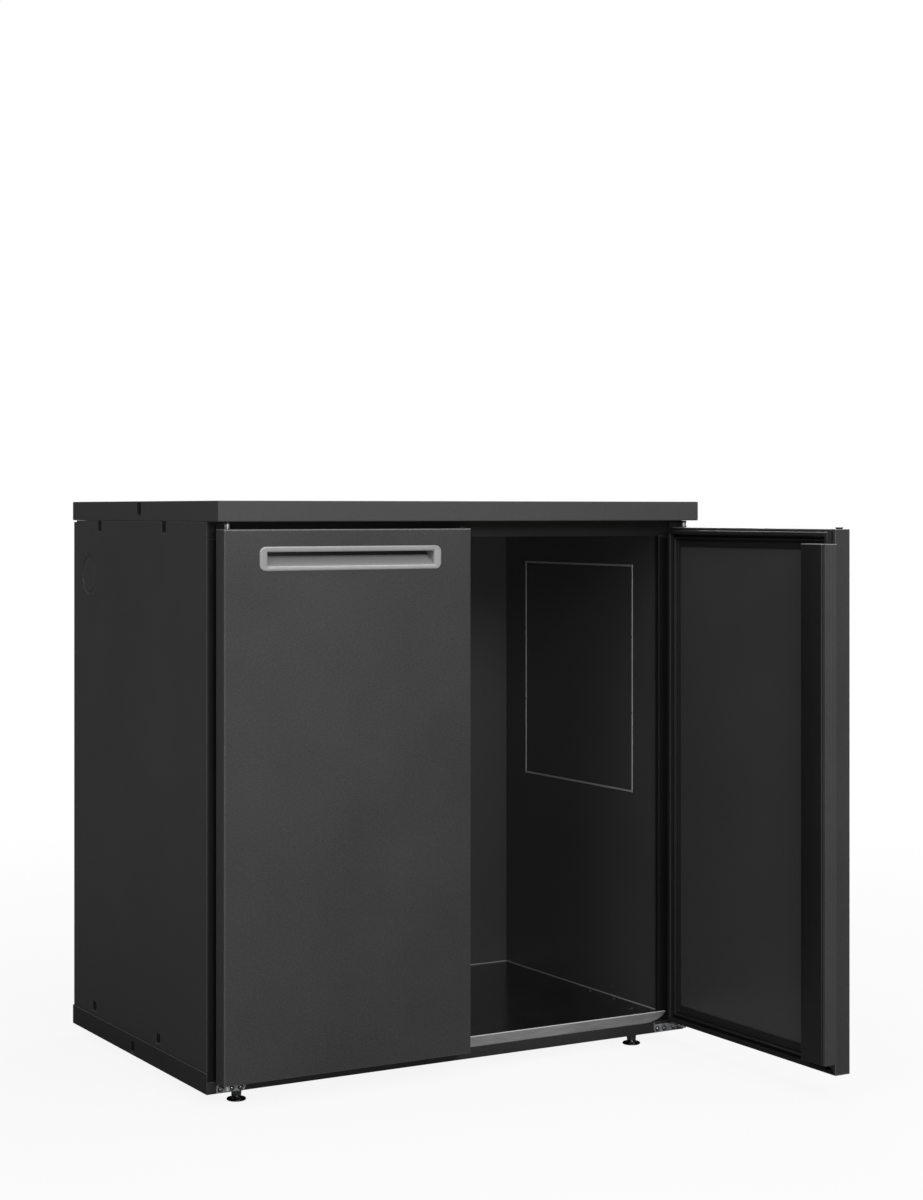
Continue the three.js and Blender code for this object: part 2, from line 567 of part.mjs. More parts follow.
// Finned coil with its return bends, and the pipes that leave it through the rear wall
function buildCoil(parent) {
  const c = COIL;
  const pitch = (c.y1 - c.y0) / COIL_FINS;
  const core = (c.x1 - c.x0) * 0.4;
  const slots = [];
  for (let i = 0; i < COIL_FINS; i += 1) {
    const [y0, y1] = [c.y0 + i * pitch + 2, c.y0 + (i + 1) * pitch];
    if (i < COIL_FINS - 1) {
      slots.push(block(c.x0 - 1, c.x0 + core, y0, y1, c.z0 - 1, c.z1 + 1));
      slots.push(block(c.x1 - core, c.x1 + 1, y0, y1, c.z0 - 1, c.z1 + 1));
    }
  }
  const bends = [];
  for (let z = c.z0 + 70; z < c.z1 - 40; z += 80) {
    const arc = new THREE.CatmullRomCurve3([0, 0.25, 0.5, 0.75, 1].map((k) => {
      const a = Math.PI * k;
      return new THREE.Vector3(-450, c.y0 + 1 - 11 * Math.sin(a), z + 16 * Math.cos(a));
    }));
    const section = new THREE.Shape().absarc(0, 0, 4.5, 0, 2 * Math.PI);
    bends.push(solid(new THREE.ExtrudeGeometry(section, { steps: 8, extrudePath: arc, curveSegments: 3 })));
  }
  const fins = cut(block(c.x0, c.x1, c.y0, c.y1, c.z0, c.z1), slots);
  addPiece(parent, "evaporator_coil", joined([fins, ...bends]), ALUMINIUM);

  for (const [name, p] of [["suction_pipe", SUCTION], ["liquid_pipe", LIQUID]]) {
    const tube = prism(circle(p.x, p.z, p.radius), "y", c.y1 + GAP, 716);
    const nut = prism(circle(p.x, p.z, p.radius + 4), "y", 703, 714, 3);
    addPiece(parent, name, tube.add(nut), COPPER);
  }
}

// Condensate tray under the coil and the drain pipe through the floor
function buildDrain(parent) {
  const t = 1.5;
  const { x0, x1, y0, y1, z0, z1 } = TRAY;
  const tray = block(x0, x1, y0, y1, z0, z1).subtract(block(x0 + t, x1 - t, y0 + t, y1 - t, z0 + t, z1 + 1));
  const round = (radius, from, to) => prism(circle(DRAIN.x, DRAIN.y, radius), "z", from, to);
  const bore = round(DRAIN.radius - 2, 0, z0 + 5);
  addPiece(parent, "drip_tray", tray.subtract(bore), BLACK_PLASTIC);
  const pipe = round(DRAIN.radius, DRAIN.outletZ, z0 - GAP).subtract(bore);
  addPiece(parent, "drain_pipe", pipe, BLACK_PLASTIC);
}

// Fans: motors on three arms each, five-bladed rotors, and wire guards outside the cover
function buildFans(parent) {
  const [motorBack, motorFront] = [-427, -399];
  const plate = UNIT.x1 - SHEET - GAP;
  const arms = [90, 210, 330].map((angle) => {
    const reach = block(motorFront - 4, motorFront, -4, 4, 20, 86);
    const post = block(motorFront - 4, plate, -4, 4, 81, 86);
    return reach.add(post).rotate([angle, 0, 0]);
  });
  const motor = joined([prism(circle(0, 0, 26), "x", motorBack, motorFront), ...arms]);

  const hub = prism(circle(0, 0, HUB_RADIUS), "x", 0, 13, 10);
  const blades = [0, 1, 2, 3, 4].map((i) => {
    const leaf = new THREE.BoxGeometry(1.6, 30, BLADE_RADIUS - BLADE_ROOT);
    leaf.rotateZ(THREE.MathUtils.degToRad(-BLADE_PITCH));
    leaf.translate(6.5, 0, (BLADE_ROOT + BLADE_RADIUS) / 2);
    leaf.rotateX(((i + 0.2) * 2 * Math.PI) / 5);
    return solid(leaf);
  });
  const rotor = joined([hub, ...blades]);

  const [x0, x1] = [UNIT.x1 + GAP, UNIT.x1 + GAP + 2.5];
  const rings = GUARD_RINGS.map((r) => prism(circle(0, 0, r), "x", x0, x1, 9).subtract(
    prism(circle(0, 0, r - 2.5), "x", x0 - 1, x1 + 1, 9)));
  const spokes = [0, 60, 120].map((angle) => block(x0, x1, -79, 79, -1.25, 1.25).rotate([angle, 0, 0]));
  const guard = joined([...rings, ...spokes]);
  for (const [end, y] of [["front", FAN_FRONT_Y], ["rear", FAN_REAR_Y]]) {
    addPiece(parent, `fan_motor_${end}`, motor, BLACK_PLASTIC).position.set(0, y, FAN_Z);
    addPiece(parent, `fan_blades_${end}`, rotor, BLACK_PLASTIC).position.set(motorFront + 1.2, y, FAN_Z);
    addPiece(parent, `fan_guard_${end}`, guard, ZINC).position.set(0, y, FAN_Z);
  }
}

// Thermostat on the front of the cooling unit, with a knob that has a raised pointer
function buildThermostat(parent) {
  const { x, y, z } = THERMOSTAT;
  addPiece(parent, "thermostat_housing",
    prism(roundedRectangle(x - 30, x + 30, z - 38, z + 38, 5), "y", y, UNIT.y0 - GAP, 3), BLACK_PLASTIC);
  const pointer = block(-1.5, 1.5, 2, 15.5, 12, 15.2);
  const knob = turned([[0, 0], [17, 0], [16, 12], [14.5, 14], [0, 14]]).add(pointer);
  const turnedKnob = addPiece(parent, "thermostat_knob", knob, SEAL_GREY);
  turnedKnob.position.set(x, y - GAP, z + 12);
  turnedKnob.rotation.x = Math.PI / 2;
}

// Gland in the rear recess that the supply cable comes out of
function buildGland(parent) {
  const [r, nut] = [GLAND.radius, GLAND.radius + 4];
  const outline = [[0, -8], [r, -8], [r, GAP], [nut, GAP], [nut, 8], [r + 1, 9], [r, 18], [0, 18]];
  const bore = turned([[0, -9], [GLAND.bore, -9], [GLAND.bore, 20], [0, 20]], 12);
  const body = turned(outline, 18).subtract(bore).rotate([-90, 0, 0]);
  addPiece(parent, "cable_gland", body.translate([GLAND.x, RECESS.y, GLAND.z]), BLACK_PLASTIC);
}

// Box profile down a door's free edge, open at its lower end, its ribbed seal, and the gasket round the
// other three sides
function doorSeals(profileX, sealTip) {
  const [px1, py0, wall] = [profileX + PROFILE_WIDTH, DOOR_THICK + GAP, PROFILE_WALL];
  const [pz0, pz1] = [PROFILE_BOTTOM_Z, PROFILE_TOP_Z];
  const profile = block(profileX, px1, py0, PROFILE_BACK_Y, pz0, pz1).subtract(
    block(profileX + wall, px1 - wall, py0 + wall, PROFILE_BACK_Y - wall, pz0 - 1, pz1 - wall));
  const at = (rib) => {
    const along = rib / SEAL_RIBS;
    const x = sealTip.front + (sealTip.back - sealTip.front) * along;
    return [x, SEAL_FRONT_Y + (SEAL_BACK_Y - SEAL_FRONT_Y) * along];
  };
  const foot = profileX - GAP;
  const points = [[foot, SEAL_BACK_Y], [foot, SEAL_FRONT_Y]];
  for (let rib = 0; rib < SEAL_RIBS; rib += 1) {
    const [x, y] = at(rib + 0.1);
    points.push([x + RIB_DEPTH, y], at(rib + 0.2), at(rib + 1));
  }
  const seal = prism(polygon(points), "z", pz0, pz1);

  const [x1, z0, z1] = [DOOR_OUTER_X, DOOR_BOTTOM_Z, DOOR_TOP_Z];
  const matBack = DOOR_THICK + MAT.thick;
  const mat = block(DOOR_X0 + 1, x1 - MAT.inset, py0, matBack, z0 + MAT.inset, z1 - MAT.inset)
    .subtract(block(-WIDTH, x1 - MAT.side, 0, DEPTH, z0 + MAT.bottom, z1 - MAT.top));
  const ridge = ({ outer, inner, y }) => (
    block(DOOR_X0 + 1, x1 - outer, matBack - 1, y, z0 + outer, z1 - outer)
      .subtract(block(-WIDTH, x1 - inner, 0, DEPTH, z0 + inner, z1 - inner)));
  const lowTrim = block(-WIDTH, WIDTH, LOW_BELLOWS_Y, DEPTH, 0, z0 + 40);
  const profileZone = block(-WIDTH, px1 + 0.5, 0, DEPTH, pz0 - 0.5, pz1 + 0.5);
  const gasket = cut(joined([mat, ridge(BELLOWS), ridge(LIP)]), [lowTrim, profileZone]);
  return { profile, seal, gasket };
}

// Recessed handle: a rounded rim and a pocket with a ramp that leads the fingers up behind the top lip
function doorHandle() {
  const [h, m, b] = [HANDLE, HANDLE_MOUTH, HANDLE_BODY];
  const rim = prism(roundedRectangle(h.x0, h.x1, h.z0, h.z1, h.radius), "y", -HANDLE_RIM - GAP, -GAP, 6);
  const body = block(b.x0, b.x1, -GAP - 0.5, b.depth, b.z0, b.z1);
  const [ramp, lip, back] = [HANDLE_RAMP, HANDLE_LIP, HANDLE_BACK_Y];
  const shelf = m.z0 + ramp.rise;
  const pocket = polygon([[-5, m.z0], [-HANDLE_RIM, m.z0], [ramp.y, shelf], [back, shelf], [back, lip.z],
    [lip.y, lip.z], [lip.y, m.z1], [-5, m.z1]]);
  return rim.add(body).subtract(prism(pocket, "x", m.x0, m.x1));
}

// The pieces of one door, closed and hinged on the right. Sockets for the hinge pins are welded into both
// ends of the skin, and the door can be hung either way, so the free edge has spare sockets
function doorPieces(profileX, sealTip) {
  const [x0, x1, d, t] = [DOOR_X0, DOOR_OUTER_X, DOOR_THICK, SHEET];
  const [z0, z1] = [DOOR_BOTTOM_Z, DOOR_TOP_Z];
  const b = HANDLE_BODY;
  const handlePocket = block(b.x0 - GAP, b.x1 + GAP, -2, b.depth + GAP, b.z0 - GAP, b.z1 + GAP);
  const atSockets = (radius, depth, over) => [HINGE_X, x0 + x1 - HINGE_X].flatMap((x) => [
    prism(circle(x, HINGE_Y, radius), "z", z1 - depth, z1 + over),
    prism(circle(x, HINGE_Y, radius), "z", z0 - over, z0 + depth),
  ]);
  const pan = foldedSlab(x0, x1, 0, d, z0, z1, DOOR_FOLD_RADIUS).subtract(
    block(x0 + t, x1 - t, t, d - t, z0 + t, z1 - t));
  const skin = cut(joined([pan, ...atSockets(BUSH_RADIUS, SOCKET_DEPTH, 0)]), [
    block(x0 + DOOR_RETURN, x1 - DOOR_RETURN, d - 2 * t, d + 1, z0 + DOOR_RETURN, z1 - DOOR_RETURN),
    handlePocket, ...atSockets(PIN_RADIUS + GAP, SOCKET_DEPTH + 1, 1),
  ]);
  const inset = t + GAP;
  const foam = cut(block(x0 + inset, x1 - inset, inset, d - inset, z0 + inset, z1 - inset),
    [handlePocket, ...atSockets(BUSH_RADIUS + 0.4, SOCKET_DEPTH + 0.5, 1)]);
  const edge = DOOR_RETURN + GAP;
  const liner = block(x0 + edge, x1 - edge, d - t, d, z0 + edge, z1 - edge);
  return { skin, foam, liner, handle: doorHandle(), ...doorSeals(profileX, sealTip) };
}

function addDoor(parent, side, pieces) {
  addPiece(parent, `${side}_door_skin`, pieces.skin, COATED);
  addPiece(parent, `${side}_door_insulation`, pieces.foam, FOAM);
  addPiece(parent, `${side}_door_liner`, pieces.liner, LINER);
  addPiece(parent, `${side}_door_handle`, pieces.handle, HANDLE_GREY);
  addPiece(parent, `${side}_door_gasket`, pieces.gasket, RUBBER);
  addPiece(parent, `${side}_meeting_profile`, pieces.profile, DARK_COATED);
  addPiece(parent, `${side}_meeting_seal`, pieces.seal, SEAL_GREY);
}

function buildDoors(parent) {
  addDoor(parent, "left", Object.fromEntries(
    Object.entries(doorPieces(LEFT_PROFILE_X, LEFT_SEAL_TIP)).map(([name, body]) => [name, mirrored(body)])));
  const hinge = new THREE.Group();
  hinge.position.set(HINGE_X, HINGE_Y, 0);
  hinge.rotation.z = OPEN_ANGLE;
  const leaf = new THREE.Group();
  leaf.position.set(-HINGE_X, -HINGE_Y, 0);
  hinge.add(leaf);
  parent.add(hinge);
  addDoor(leaf, "right", doorPieces(RIGHT_PROFILE_X, RIGHT_SEAL_TIP));
}

// The origin is on the floor under the middle of the whole outline, the open door included
const doorReach = HINGE_X - HINGE_Y - RIGHT_SEAL_TIP.back;
const cooler = new THREE.Group();
cooler.position.y = (doorReach - DEPTH) / 2;
buildWorktop(cooler);
buildBase(cooler);
buildSideWalls(cooler);
buildServicePort(cooler);
buildRearAndCeiling(cooler);
buildFrontFrame(cooler);
buildFloorPan(cooler);
buildHinges(cooler);
buildFeet(cooler);
buildUnitCover(cooler);
buildCoil(cooler);
buildDrain(cooler);
buildFans(cooler);
buildThermostat(cooler);
buildGland(cooler);
buildDoors(cooler);

export default cooler;
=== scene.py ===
"""Finish, fine pieces, light and camera of a keg cooler: an insulated cabinet with two hinged doors.

Shapes are worked out in millimetres in the cabinet's own frame: x from the middle to the right, y from the
worktop's front edge to the back, z up from the floor. A door's pieces are drawn on the right door while it is
shut, then carried to where each door stands.
"""
import json

import bmesh
import bpy
import numpy as np
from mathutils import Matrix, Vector


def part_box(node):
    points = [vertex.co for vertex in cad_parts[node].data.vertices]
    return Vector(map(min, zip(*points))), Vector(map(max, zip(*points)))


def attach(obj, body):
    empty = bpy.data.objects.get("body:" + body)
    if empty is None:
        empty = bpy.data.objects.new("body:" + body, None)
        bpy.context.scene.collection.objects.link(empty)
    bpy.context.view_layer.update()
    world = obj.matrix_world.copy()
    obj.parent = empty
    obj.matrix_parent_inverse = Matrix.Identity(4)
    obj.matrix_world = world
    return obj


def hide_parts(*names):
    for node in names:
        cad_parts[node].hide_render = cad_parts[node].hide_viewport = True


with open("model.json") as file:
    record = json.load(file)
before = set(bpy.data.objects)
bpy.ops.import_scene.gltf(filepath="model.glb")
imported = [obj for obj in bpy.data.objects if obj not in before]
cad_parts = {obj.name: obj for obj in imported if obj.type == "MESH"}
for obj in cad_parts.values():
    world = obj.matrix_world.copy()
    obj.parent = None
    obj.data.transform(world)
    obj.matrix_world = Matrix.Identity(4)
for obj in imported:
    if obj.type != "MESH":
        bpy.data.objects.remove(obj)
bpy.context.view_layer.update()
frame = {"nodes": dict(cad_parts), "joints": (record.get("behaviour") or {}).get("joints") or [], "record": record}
scene = bpy.context.scene

MM = 0.001
SLOT_OF = {part["node"]: part["material_slot"] for part in frame["record"]["subparts"]}
# Origin of the cabinet's own frame: on the floor below the middle of the worktop's front edge
FRONT = np.array([0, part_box("worktop_skin")[0][1] / MM, 0])


def limits(node):
    """A node's lowest and highest corner in the cabinet's frame, in millimetres."""
    low, high = (np.array(corner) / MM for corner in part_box(node))
    return low - FRONT, high - FRONT


# Driving sizes of the cabinet, read from the frame
WORKTOP_HIGH = limits("worktop_skin")[1]
BASE_LOW, BASE_HIGH = limits("base_frame")
PAN_LOW, PAN_HIGH = limits("floor_pan")
JAMB_LOW, JAMB_HIGH = limits("right_jamb")
COVER_LOW, COVER_HIGH = limits("evaporator_cover")
PANEL_X = limits("right_side_panel")[1][0]
LINER_X = limits("right_liner")[0][0]

# The right door while it is shut: hinge axis, free and hinged edge, bottom and top. The left one mirrors it
RIGHT_HINGE = next(joint for joint in frame["joints"] if joint["child"] == "right_door")
HINGE_X, HINGE_Y = (np.array(RIGHT_HINGE["pos_m"]) / MM - FRONT)[:2]
DOOR_LOW, DOOR_HIGH = limits("left_door_skin")
DOOR_IN, DOOR_OUT = -DOOR_HIGH[0], -DOOR_LOW[0]
DOOR_Z0, DOOR_Z1 = DOOR_LOW[2], DOOR_HIGH[2]

# Camera, fitted to the cabinet's edges in the photograph: the picture's height, the focal length and the
# horizon in pixels, the camera's place in metres, its turn from the doors' normal in degrees, and its sensor
# in millimetres
PHOTO_HIGH = 1200
FOCAL_PX = 2289.6
HORIZON_PX = 510.5
CAMERA_AT = (-2.2200, -3.8868, 1.0822)
CAMERA_TURN = -30.2147
SENSOR = 36

# Light: how bright the white room is where it lights a surface, and where a surface mirrors it
ROOM_FILL = 0.12
ROOM_SHEEN = 0.22
# The floor's half width in metres and its paint. Near the object and far from it: how bright the floor is in
# a mirroring surface, and how much of its own white hides its shading. How far near and far are, in metres
FLOOR_HALF = 60.0
FLOOR_PAINT = "#c8c8c8"
FLOOR_SHEEN = (0.08, ROOM_SHEEN)
FLOOR_GLOW = (0.9, 1.0)
GLOW_REACH = (1.0, 3.5)
# Strength above which a ray counts as one that sees the floor's white
SEEN_ABOVE = 0.01
# Soft lamps, in metres and watts
LAMPS = [
    {"name": "front_softbox", "at": (0.1, -3.1, 2.3), "aim": (0, 0, 0.7), "size": (1.8, 1.2), "watts": 74},
    {"name": "low_softbox", "at": (-0.9, -2.4, 0.5), "aim": (0.4, 0, 0.3), "size": (1.0, 0.8), "watts": 12},
    {"name": "left_softbox", "at": (-2.4, -1.3, 2.7), "aim": (-0.5, 0.2, 0.9), "size": (1.2, 1.2),
     "watts": 30},
    {"name": "top_softbox", "at": (0.2, 0.0, 3.4), "aim": (0, 0, 1.0), "size": (2.2, 2.2), "watts": 52},
    {"name": "back_softbox", "at": (2.6, 2.8, 2.2), "aim": (0, 0, 0.6), "size": (1.8, 1.8), "watts": 64},
]


def linear(code):
    """An sRGB hex colour as linear red, green, blue and an opaque alpha."""
    value = np.array([int(code[i : i + 2], 16) for i in (1, 3, 5)]) / 255
    low = value / 12.92
    high = ((value + 0.055) / 1.055) ** 2.4
    return (*np.where(value <= 0.04045, low, high), 1.0)


def empty_tree(owner):
    """The node tree of a material or a world, switched on and cleared."""
    owner.use_nodes = True
    owner.node_tree.nodes.clear()
    return owner.node_tree


def add(tree, kind, inputs=None, **settings):
    """A node with its settings, each input either linked to a socket or set to a value."""
    node = tree.nodes.new(kind)
    for key, value in settings.items():
        setattr(node, key, value)
    for socket, value in (inputs or {}).items():
        if isinstance(value, bpy.types.NodeSocket):
            tree.links.new(value, node.inputs[socket])
        else:
            node.inputs[socket].default_value = value
    return node


# Meshes

# The smallest radius that a corner is drawn with, so that its points stay apart
LEAST_RADIUS = 0.02


def rounded_rectangle(u0, u1, v0, v1, radius, steps):
    """Four quarter circles, each about the point that lies one radius in from both sides of its corner."""
    radius = max(radius, LEAST_RADIUS)
    turn = np.linspace(0, np.pi / 2, steps) + (np.arange(4)[:, None] - 1) * np.pi / 2
    centre_u = np.array([u1 - radius, u1 - radius, u0 + radius, u0 + radius])[:, None]
    centre_v = np.array([v0 + radius, v1 - radius, v1 - radius, v0 + radius])[:, None]
    points = [centre_u + radius * np.cos(turn), centre_v + radius * np.sin(turn)]
    return np.stack(points, axis=-1).reshape(-1, 2)


def across(flat, axis, level):
    """Flat points at a level along an axis: (y, z) across x, (x, z) across y, (x, y) across z."""
    return np.insert(np.asarray(flat, float), "xyz".index(axis), level, axis=-1)


def loft(rings, wrap=False):
    """Quads from each ring of points to the next. The end rings are closed by a face, or meet if wrapped."""
    rings = np.asarray(rings, float)
    count, around = rings.shape[:2]
    i, j = np.meshgrid(np.arange(count if wrap else count - 1), np.arange(around), indexing="ij")
    here, there = i * around, (i + 1) % count * around
    after = (j + 1) % around
    quads = np.stack([here + j, here + after, there + after, there + j], axis=-1).reshape(-1, 4).tolist()
    if not wrap:
        quads.append(list(range(around)))
        quads.append(list(range((count - 1) * around, count * around)))
    return rings.reshape(-1, 3), quads


def joined(shapes):
    """Several shapes as one, the points of each after those of the one before."""
    starts = np.cumsum([0] + [len(points) for points, _ in shapes]).tolist()
    faces = [[k + start for k in face] for (_, part), start in zip(shapes, starts) for face in part]
    return np.concatenate([points for points, _ in shapes]), faces


def eased(edge, depth, steps=4):
    """How far a section is drawn in at each level of a slab whose ends are rounded by a quarter circle."""
    turn = np.linspace(0, np.pi / 2, steps)
    inset, rise = edge * (1 - np.sin(turn)), edge * (1 - np.cos(turn))
    return np.concatenate([inset, inset[::-1]]), np.concatenate([rise, depth - rise[::-1]])


def drawn_in(u, v, corner, steps):
    """A rounded rectangle drawn in by the first number of each step at the level of its second."""
    return [(u[0] + inset, u[1] - inset, v[0] + inset, v[1] - inset, corner - inset, level)
            for inset, level in steps]


def slab(axis, u, v, w, corner, edge):
    """A plate across an axis with rounded corners and eased edges."""
    inset, rise = eased(edge, w[1] - w[0])
    return nested(axis, drawn_in(u, v, corner, zip(inset, w[0] + rise)))


def nested(axis, stations, wrap=False, steps=7):
    """Rounded rectangles, each (u0, u1, v0, v1, corner radius, level), joined one to the next."""
    return loft([across(rounded_rectangle(*s[:5], steps), axis, s[5]) for s in stations], wrap)


def turned(profile, centre, axis="z", around=40, lobes=0, depth=0.0):
    """A circle about an axis for each (radius, height) of a profile, joined one to the next. With lobes, each
    circle's radius also falls and rises by a share of itself, as a cosine that many times round."""
    angle = np.linspace(0, 2 * np.pi, around, endpoint=False)
    swell = 1 - depth * (0.5 - 0.5 * np.cos(lobes * angle))
    circle = swell[:, None] * np.stack([np.cos(angle), np.sin(angle)], axis=-1)
    rings = np.array([across(radius * circle, axis, height) for radius, height in profile])
    return loft(rings + np.asarray(centre, float))


def rotated(shape, axis, degrees, centre=(0, 0, 0)):
    """A shape turned about an axis through a centre, by the right-hand rule."""
    points, faces = shape
    turn = np.radians(degrees)
    first, second = {"x": (1, 2), "y": (2, 0), "z": (0, 1)}[axis]
    off = points - centre
    spun = off.copy()
    spun[:, first] = off[:, first] * np.cos(turn) - off[:, second] * np.sin(turn)
    spun[:, second] = off[:, first] * np.sin(turn) + off[:, second] * np.cos(turn)
    return spun + centre, faces


def tube(path, radius, around, wrap=False):
    """A circle of a given radius about each point of a path and square to it. Its first side is square to the
    axis along which the path spreads least."""
    path = np.asarray(path, float)
    ahead = np.roll(path, -1, axis=0) - np.roll(path, 1, axis=0) if wrap else np.gradient(path, axis=0)
    ahead /= np.linalg.norm(ahead, axis=1, keepdims=True)
    spread = path.max(0) - path.min(0)
    side = np.cross(ahead, np.eye(3)[np.argmin(spread)])
    side /= np.linalg.norm(side, axis=1, keepdims=True)
    up = np.cross(side, ahead)
    angle = np.linspace(0, 2 * np.pi, around, endpoint=False)[None, :, None]
    return loft(path[:, None] + radius * (np.cos(angle) * side[:, None] + np.sin(angle) * up[:, None]), wrap)


def carried(profile, axis, start, end):
    """A closed flat outline carried straight along an axis."""
    return loft([across(profile, axis, start), across(profile, axis, end)])


def mirrored(shape):
    """The mirror image of a shape in the plane x = 0."""
    points, faces = shape
    return points * [-1, 1, 1], faces


def on_side(side, shape):
    """A shape drawn on the cabinet's right side, or its mirror image for the left side."""
    return mirrored(shape) if side == "left" else shape


def on_door(side, shape):
    """A shape drawn on the shut right door, carried to where the door stands: the left one is its mirror
    image, and the right one is a quarter turn about its hinge."""
    if side == "left":
        return mirrored(shape)
    points, faces = shape
    x, y, z = points.T
    return np.stack([HINGE_X - (y - HINGE_Y), HINGE_Y + (x - HINGE_X), z], axis=-1), faces


def drawn_limits(side, piece):
    """A door node's lowest and highest corner as drawn on the shut right door, the way back from on_door."""
    low, high = limits(f"{side}_{piece}")
    if side == "left":
        x, y = [-high[0], -low[0]], [low[1], high[1]]
    else:
        x = [HINGE_X + (low[1] - HINGE_Y), HINGE_X + (high[1] - HINGE_Y)]
        y = [HINGE_Y - (high[0] - HINGE_X), HINGE_Y - (low[0] - HINGE_X)]
    return np.stack([x, y, [low[2], high[2]]], axis=-1)


def line_through(node, axis):
    """The point at level 0 of the line along an axis through the middle of a node's box."""
    low, high = limits(node)
    point = (low + high) / 2
    point["xyz".index(axis)] = 0
    return point


def make(name, shape, slot, replaces=(), body="cabinet", material=None, sharp=38):
    """A closed mesh in the frame, smooth but for edges past an angle, that rides on a body and takes its
    finish from a slot, or has one of its own."""
    points, faces = shape
    mesh = bpy.data.meshes.new(name)
    mesh.from_pydata(((points + FRONT) * MM).tolist(), [], faces)
    work = bmesh.new()
    work.from_mesh(mesh)
    bmesh.ops.recalc_face_normals(work, faces=work.faces)
    work.to_mesh(mesh)
    work.free()
    mesh.shade_smooth()
    mesh.set_sharp_from_angle(angle=np.radians(sharp))
    mesh.materials.append(material or MATERIALS[slot])
    piece = bpy.data.objects.new(name, mesh)
    scene.collection.objects.link(piece)
    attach(piece, body)
    if replaces:
        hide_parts(*replaces)


# Materials

# Part of a noise's range that is spread over the whole of a colour, a smudge or a roughness
NOISE_SPAN = {"From Min": 0.3, "From Max": 0.7}
# How far the smudges shift a colour between its dark and its light
SMUDGE_SHIFT = {"To Min": -0.15, "To Max": 0.15}
# Cosines of the turn of a fold at which its painted highlight begins and is full
HIGHLIGHT_TURN = {"From Min": 0.998, "From Max": 0.96}
# How far up a fold faces, from upright, for all of its painted highlight to show, and the share of it that an
# upright one shows
HIGHLIGHT_RISE = {"From Max": 0.3, "To Min": 0.25}


def finish(name, dark, light, grain, bump, roughness, stretch=(1, 1, 1), smudge=220, fold=0.0, edge_highlight=None,
           metallic=0.0, specular=0.5):
    """A Principled surface in metres of Object coordinates. Its colour runs from dark to light over grain, a
    size in millimetres, drawn out by stretch. Its bump is a height in millimetres, its roughness runs between
    two values over smudges, and its edges turn over a fold of so many millimetres. Where the fold turns the
    surface by 4 to 16 degrees, read from the cosine of that turn, the colour passes to the edge highlight,
    a painted highlight: wholly where the fold faces up towards the lamps above, and by a quarter where it is
    upright."""
    material = bpy.data.materials.new(name)
    tree = empty_tree(material)
    place = add(tree, "ShaderNodeTexCoord").outputs["Object"]
    drawn = add(tree, "ShaderNodeMapping", {"Vector": place, "Scale": [1 / s for s in stretch]})
    fine = add(tree, "ShaderNodeTexNoise", {
        "Vector": drawn.outputs[0], "Scale": 1 / (grain * MM), "Detail": 3.0, "Roughness": 0.6})
    broad = add(tree, "ShaderNodeTexNoise", {"Vector": place, "Scale": 1 / (smudge * MM), "Detail": 4.0})
    spots = add(tree, "ShaderNodeMapRange", {"Value": fine.outputs[0], **NOISE_SPAN})
    cloud = add(tree, "ShaderNodeMapRange", {"Value": broad.outputs[0], **NOISE_SPAN, **SMUDGE_SHIFT})
    share = add(tree, "ShaderNodeMath", {0: spots.outputs[0], 1: cloud.outputs[0]}, operation="ADD",
                use_clamp=True)
    colour = add(tree, "ShaderNodeMix", {"Factor": share.outputs[0], "A": linear(dark), "B": linear(light)},
                 data_type="RGBA")
    rough = add(tree, "ShaderNodeMapRange", {
        "Value": broad.outputs[0], **NOISE_SPAN, "To Min": roughness[0], "To Max": roughness[1]})
    tint = colour.outputs[2]
    relief = {"Height": fine.outputs[0], "Strength": 1.0, "Distance": bump * MM}
    if fold:
        relief["Normal"] = add(tree, "ShaderNodeBevel", {"Radius": fold * MM}, samples=8).outputs[0]
    # Painted highlight: the colour turns paler along folds, most where they face up to the lamps
    if edge_highlight:
        flat = add(tree, "ShaderNodeNewGeometry").outputs["Normal"]
        turn = add(tree, "ShaderNodeVectorMath", {0: relief["Normal"], 1: flat}, operation="DOT_PRODUCT")
        rise = add(tree, "ShaderNodeSeparateXYZ", {"Vector": relief["Normal"]}).outputs["Z"]
        lit_from_above = add(tree, "ShaderNodeMapRange", {"Value": rise, **HIGHLIGHT_RISE})
        highlight_share = add(tree, "ShaderNodeMapRange", {
            "Value": turn.outputs["Value"], **HIGHLIGHT_TURN, "To Max": lit_from_above.outputs[0]})
        tint = add(tree, "ShaderNodeMix", {"Factor": highlight_share.outputs[0], "A": tint, "B": linear(edge_highlight)},
                   data_type="RGBA").outputs[2]
    bumped = add(tree, "ShaderNodeBump", relief)
    surface = add(tree, "ShaderNodeBsdfPrincipled", {
        "Base Color": tint, "Metallic": metallic, "Specular IOR Level": specular,
        "Roughness": rough.outputs[0], "Normal": bumped.outputs[0]})
    add(tree, "ShaderNodeOutputMaterial", {"Surface": surface.outputs[0]})
    return material


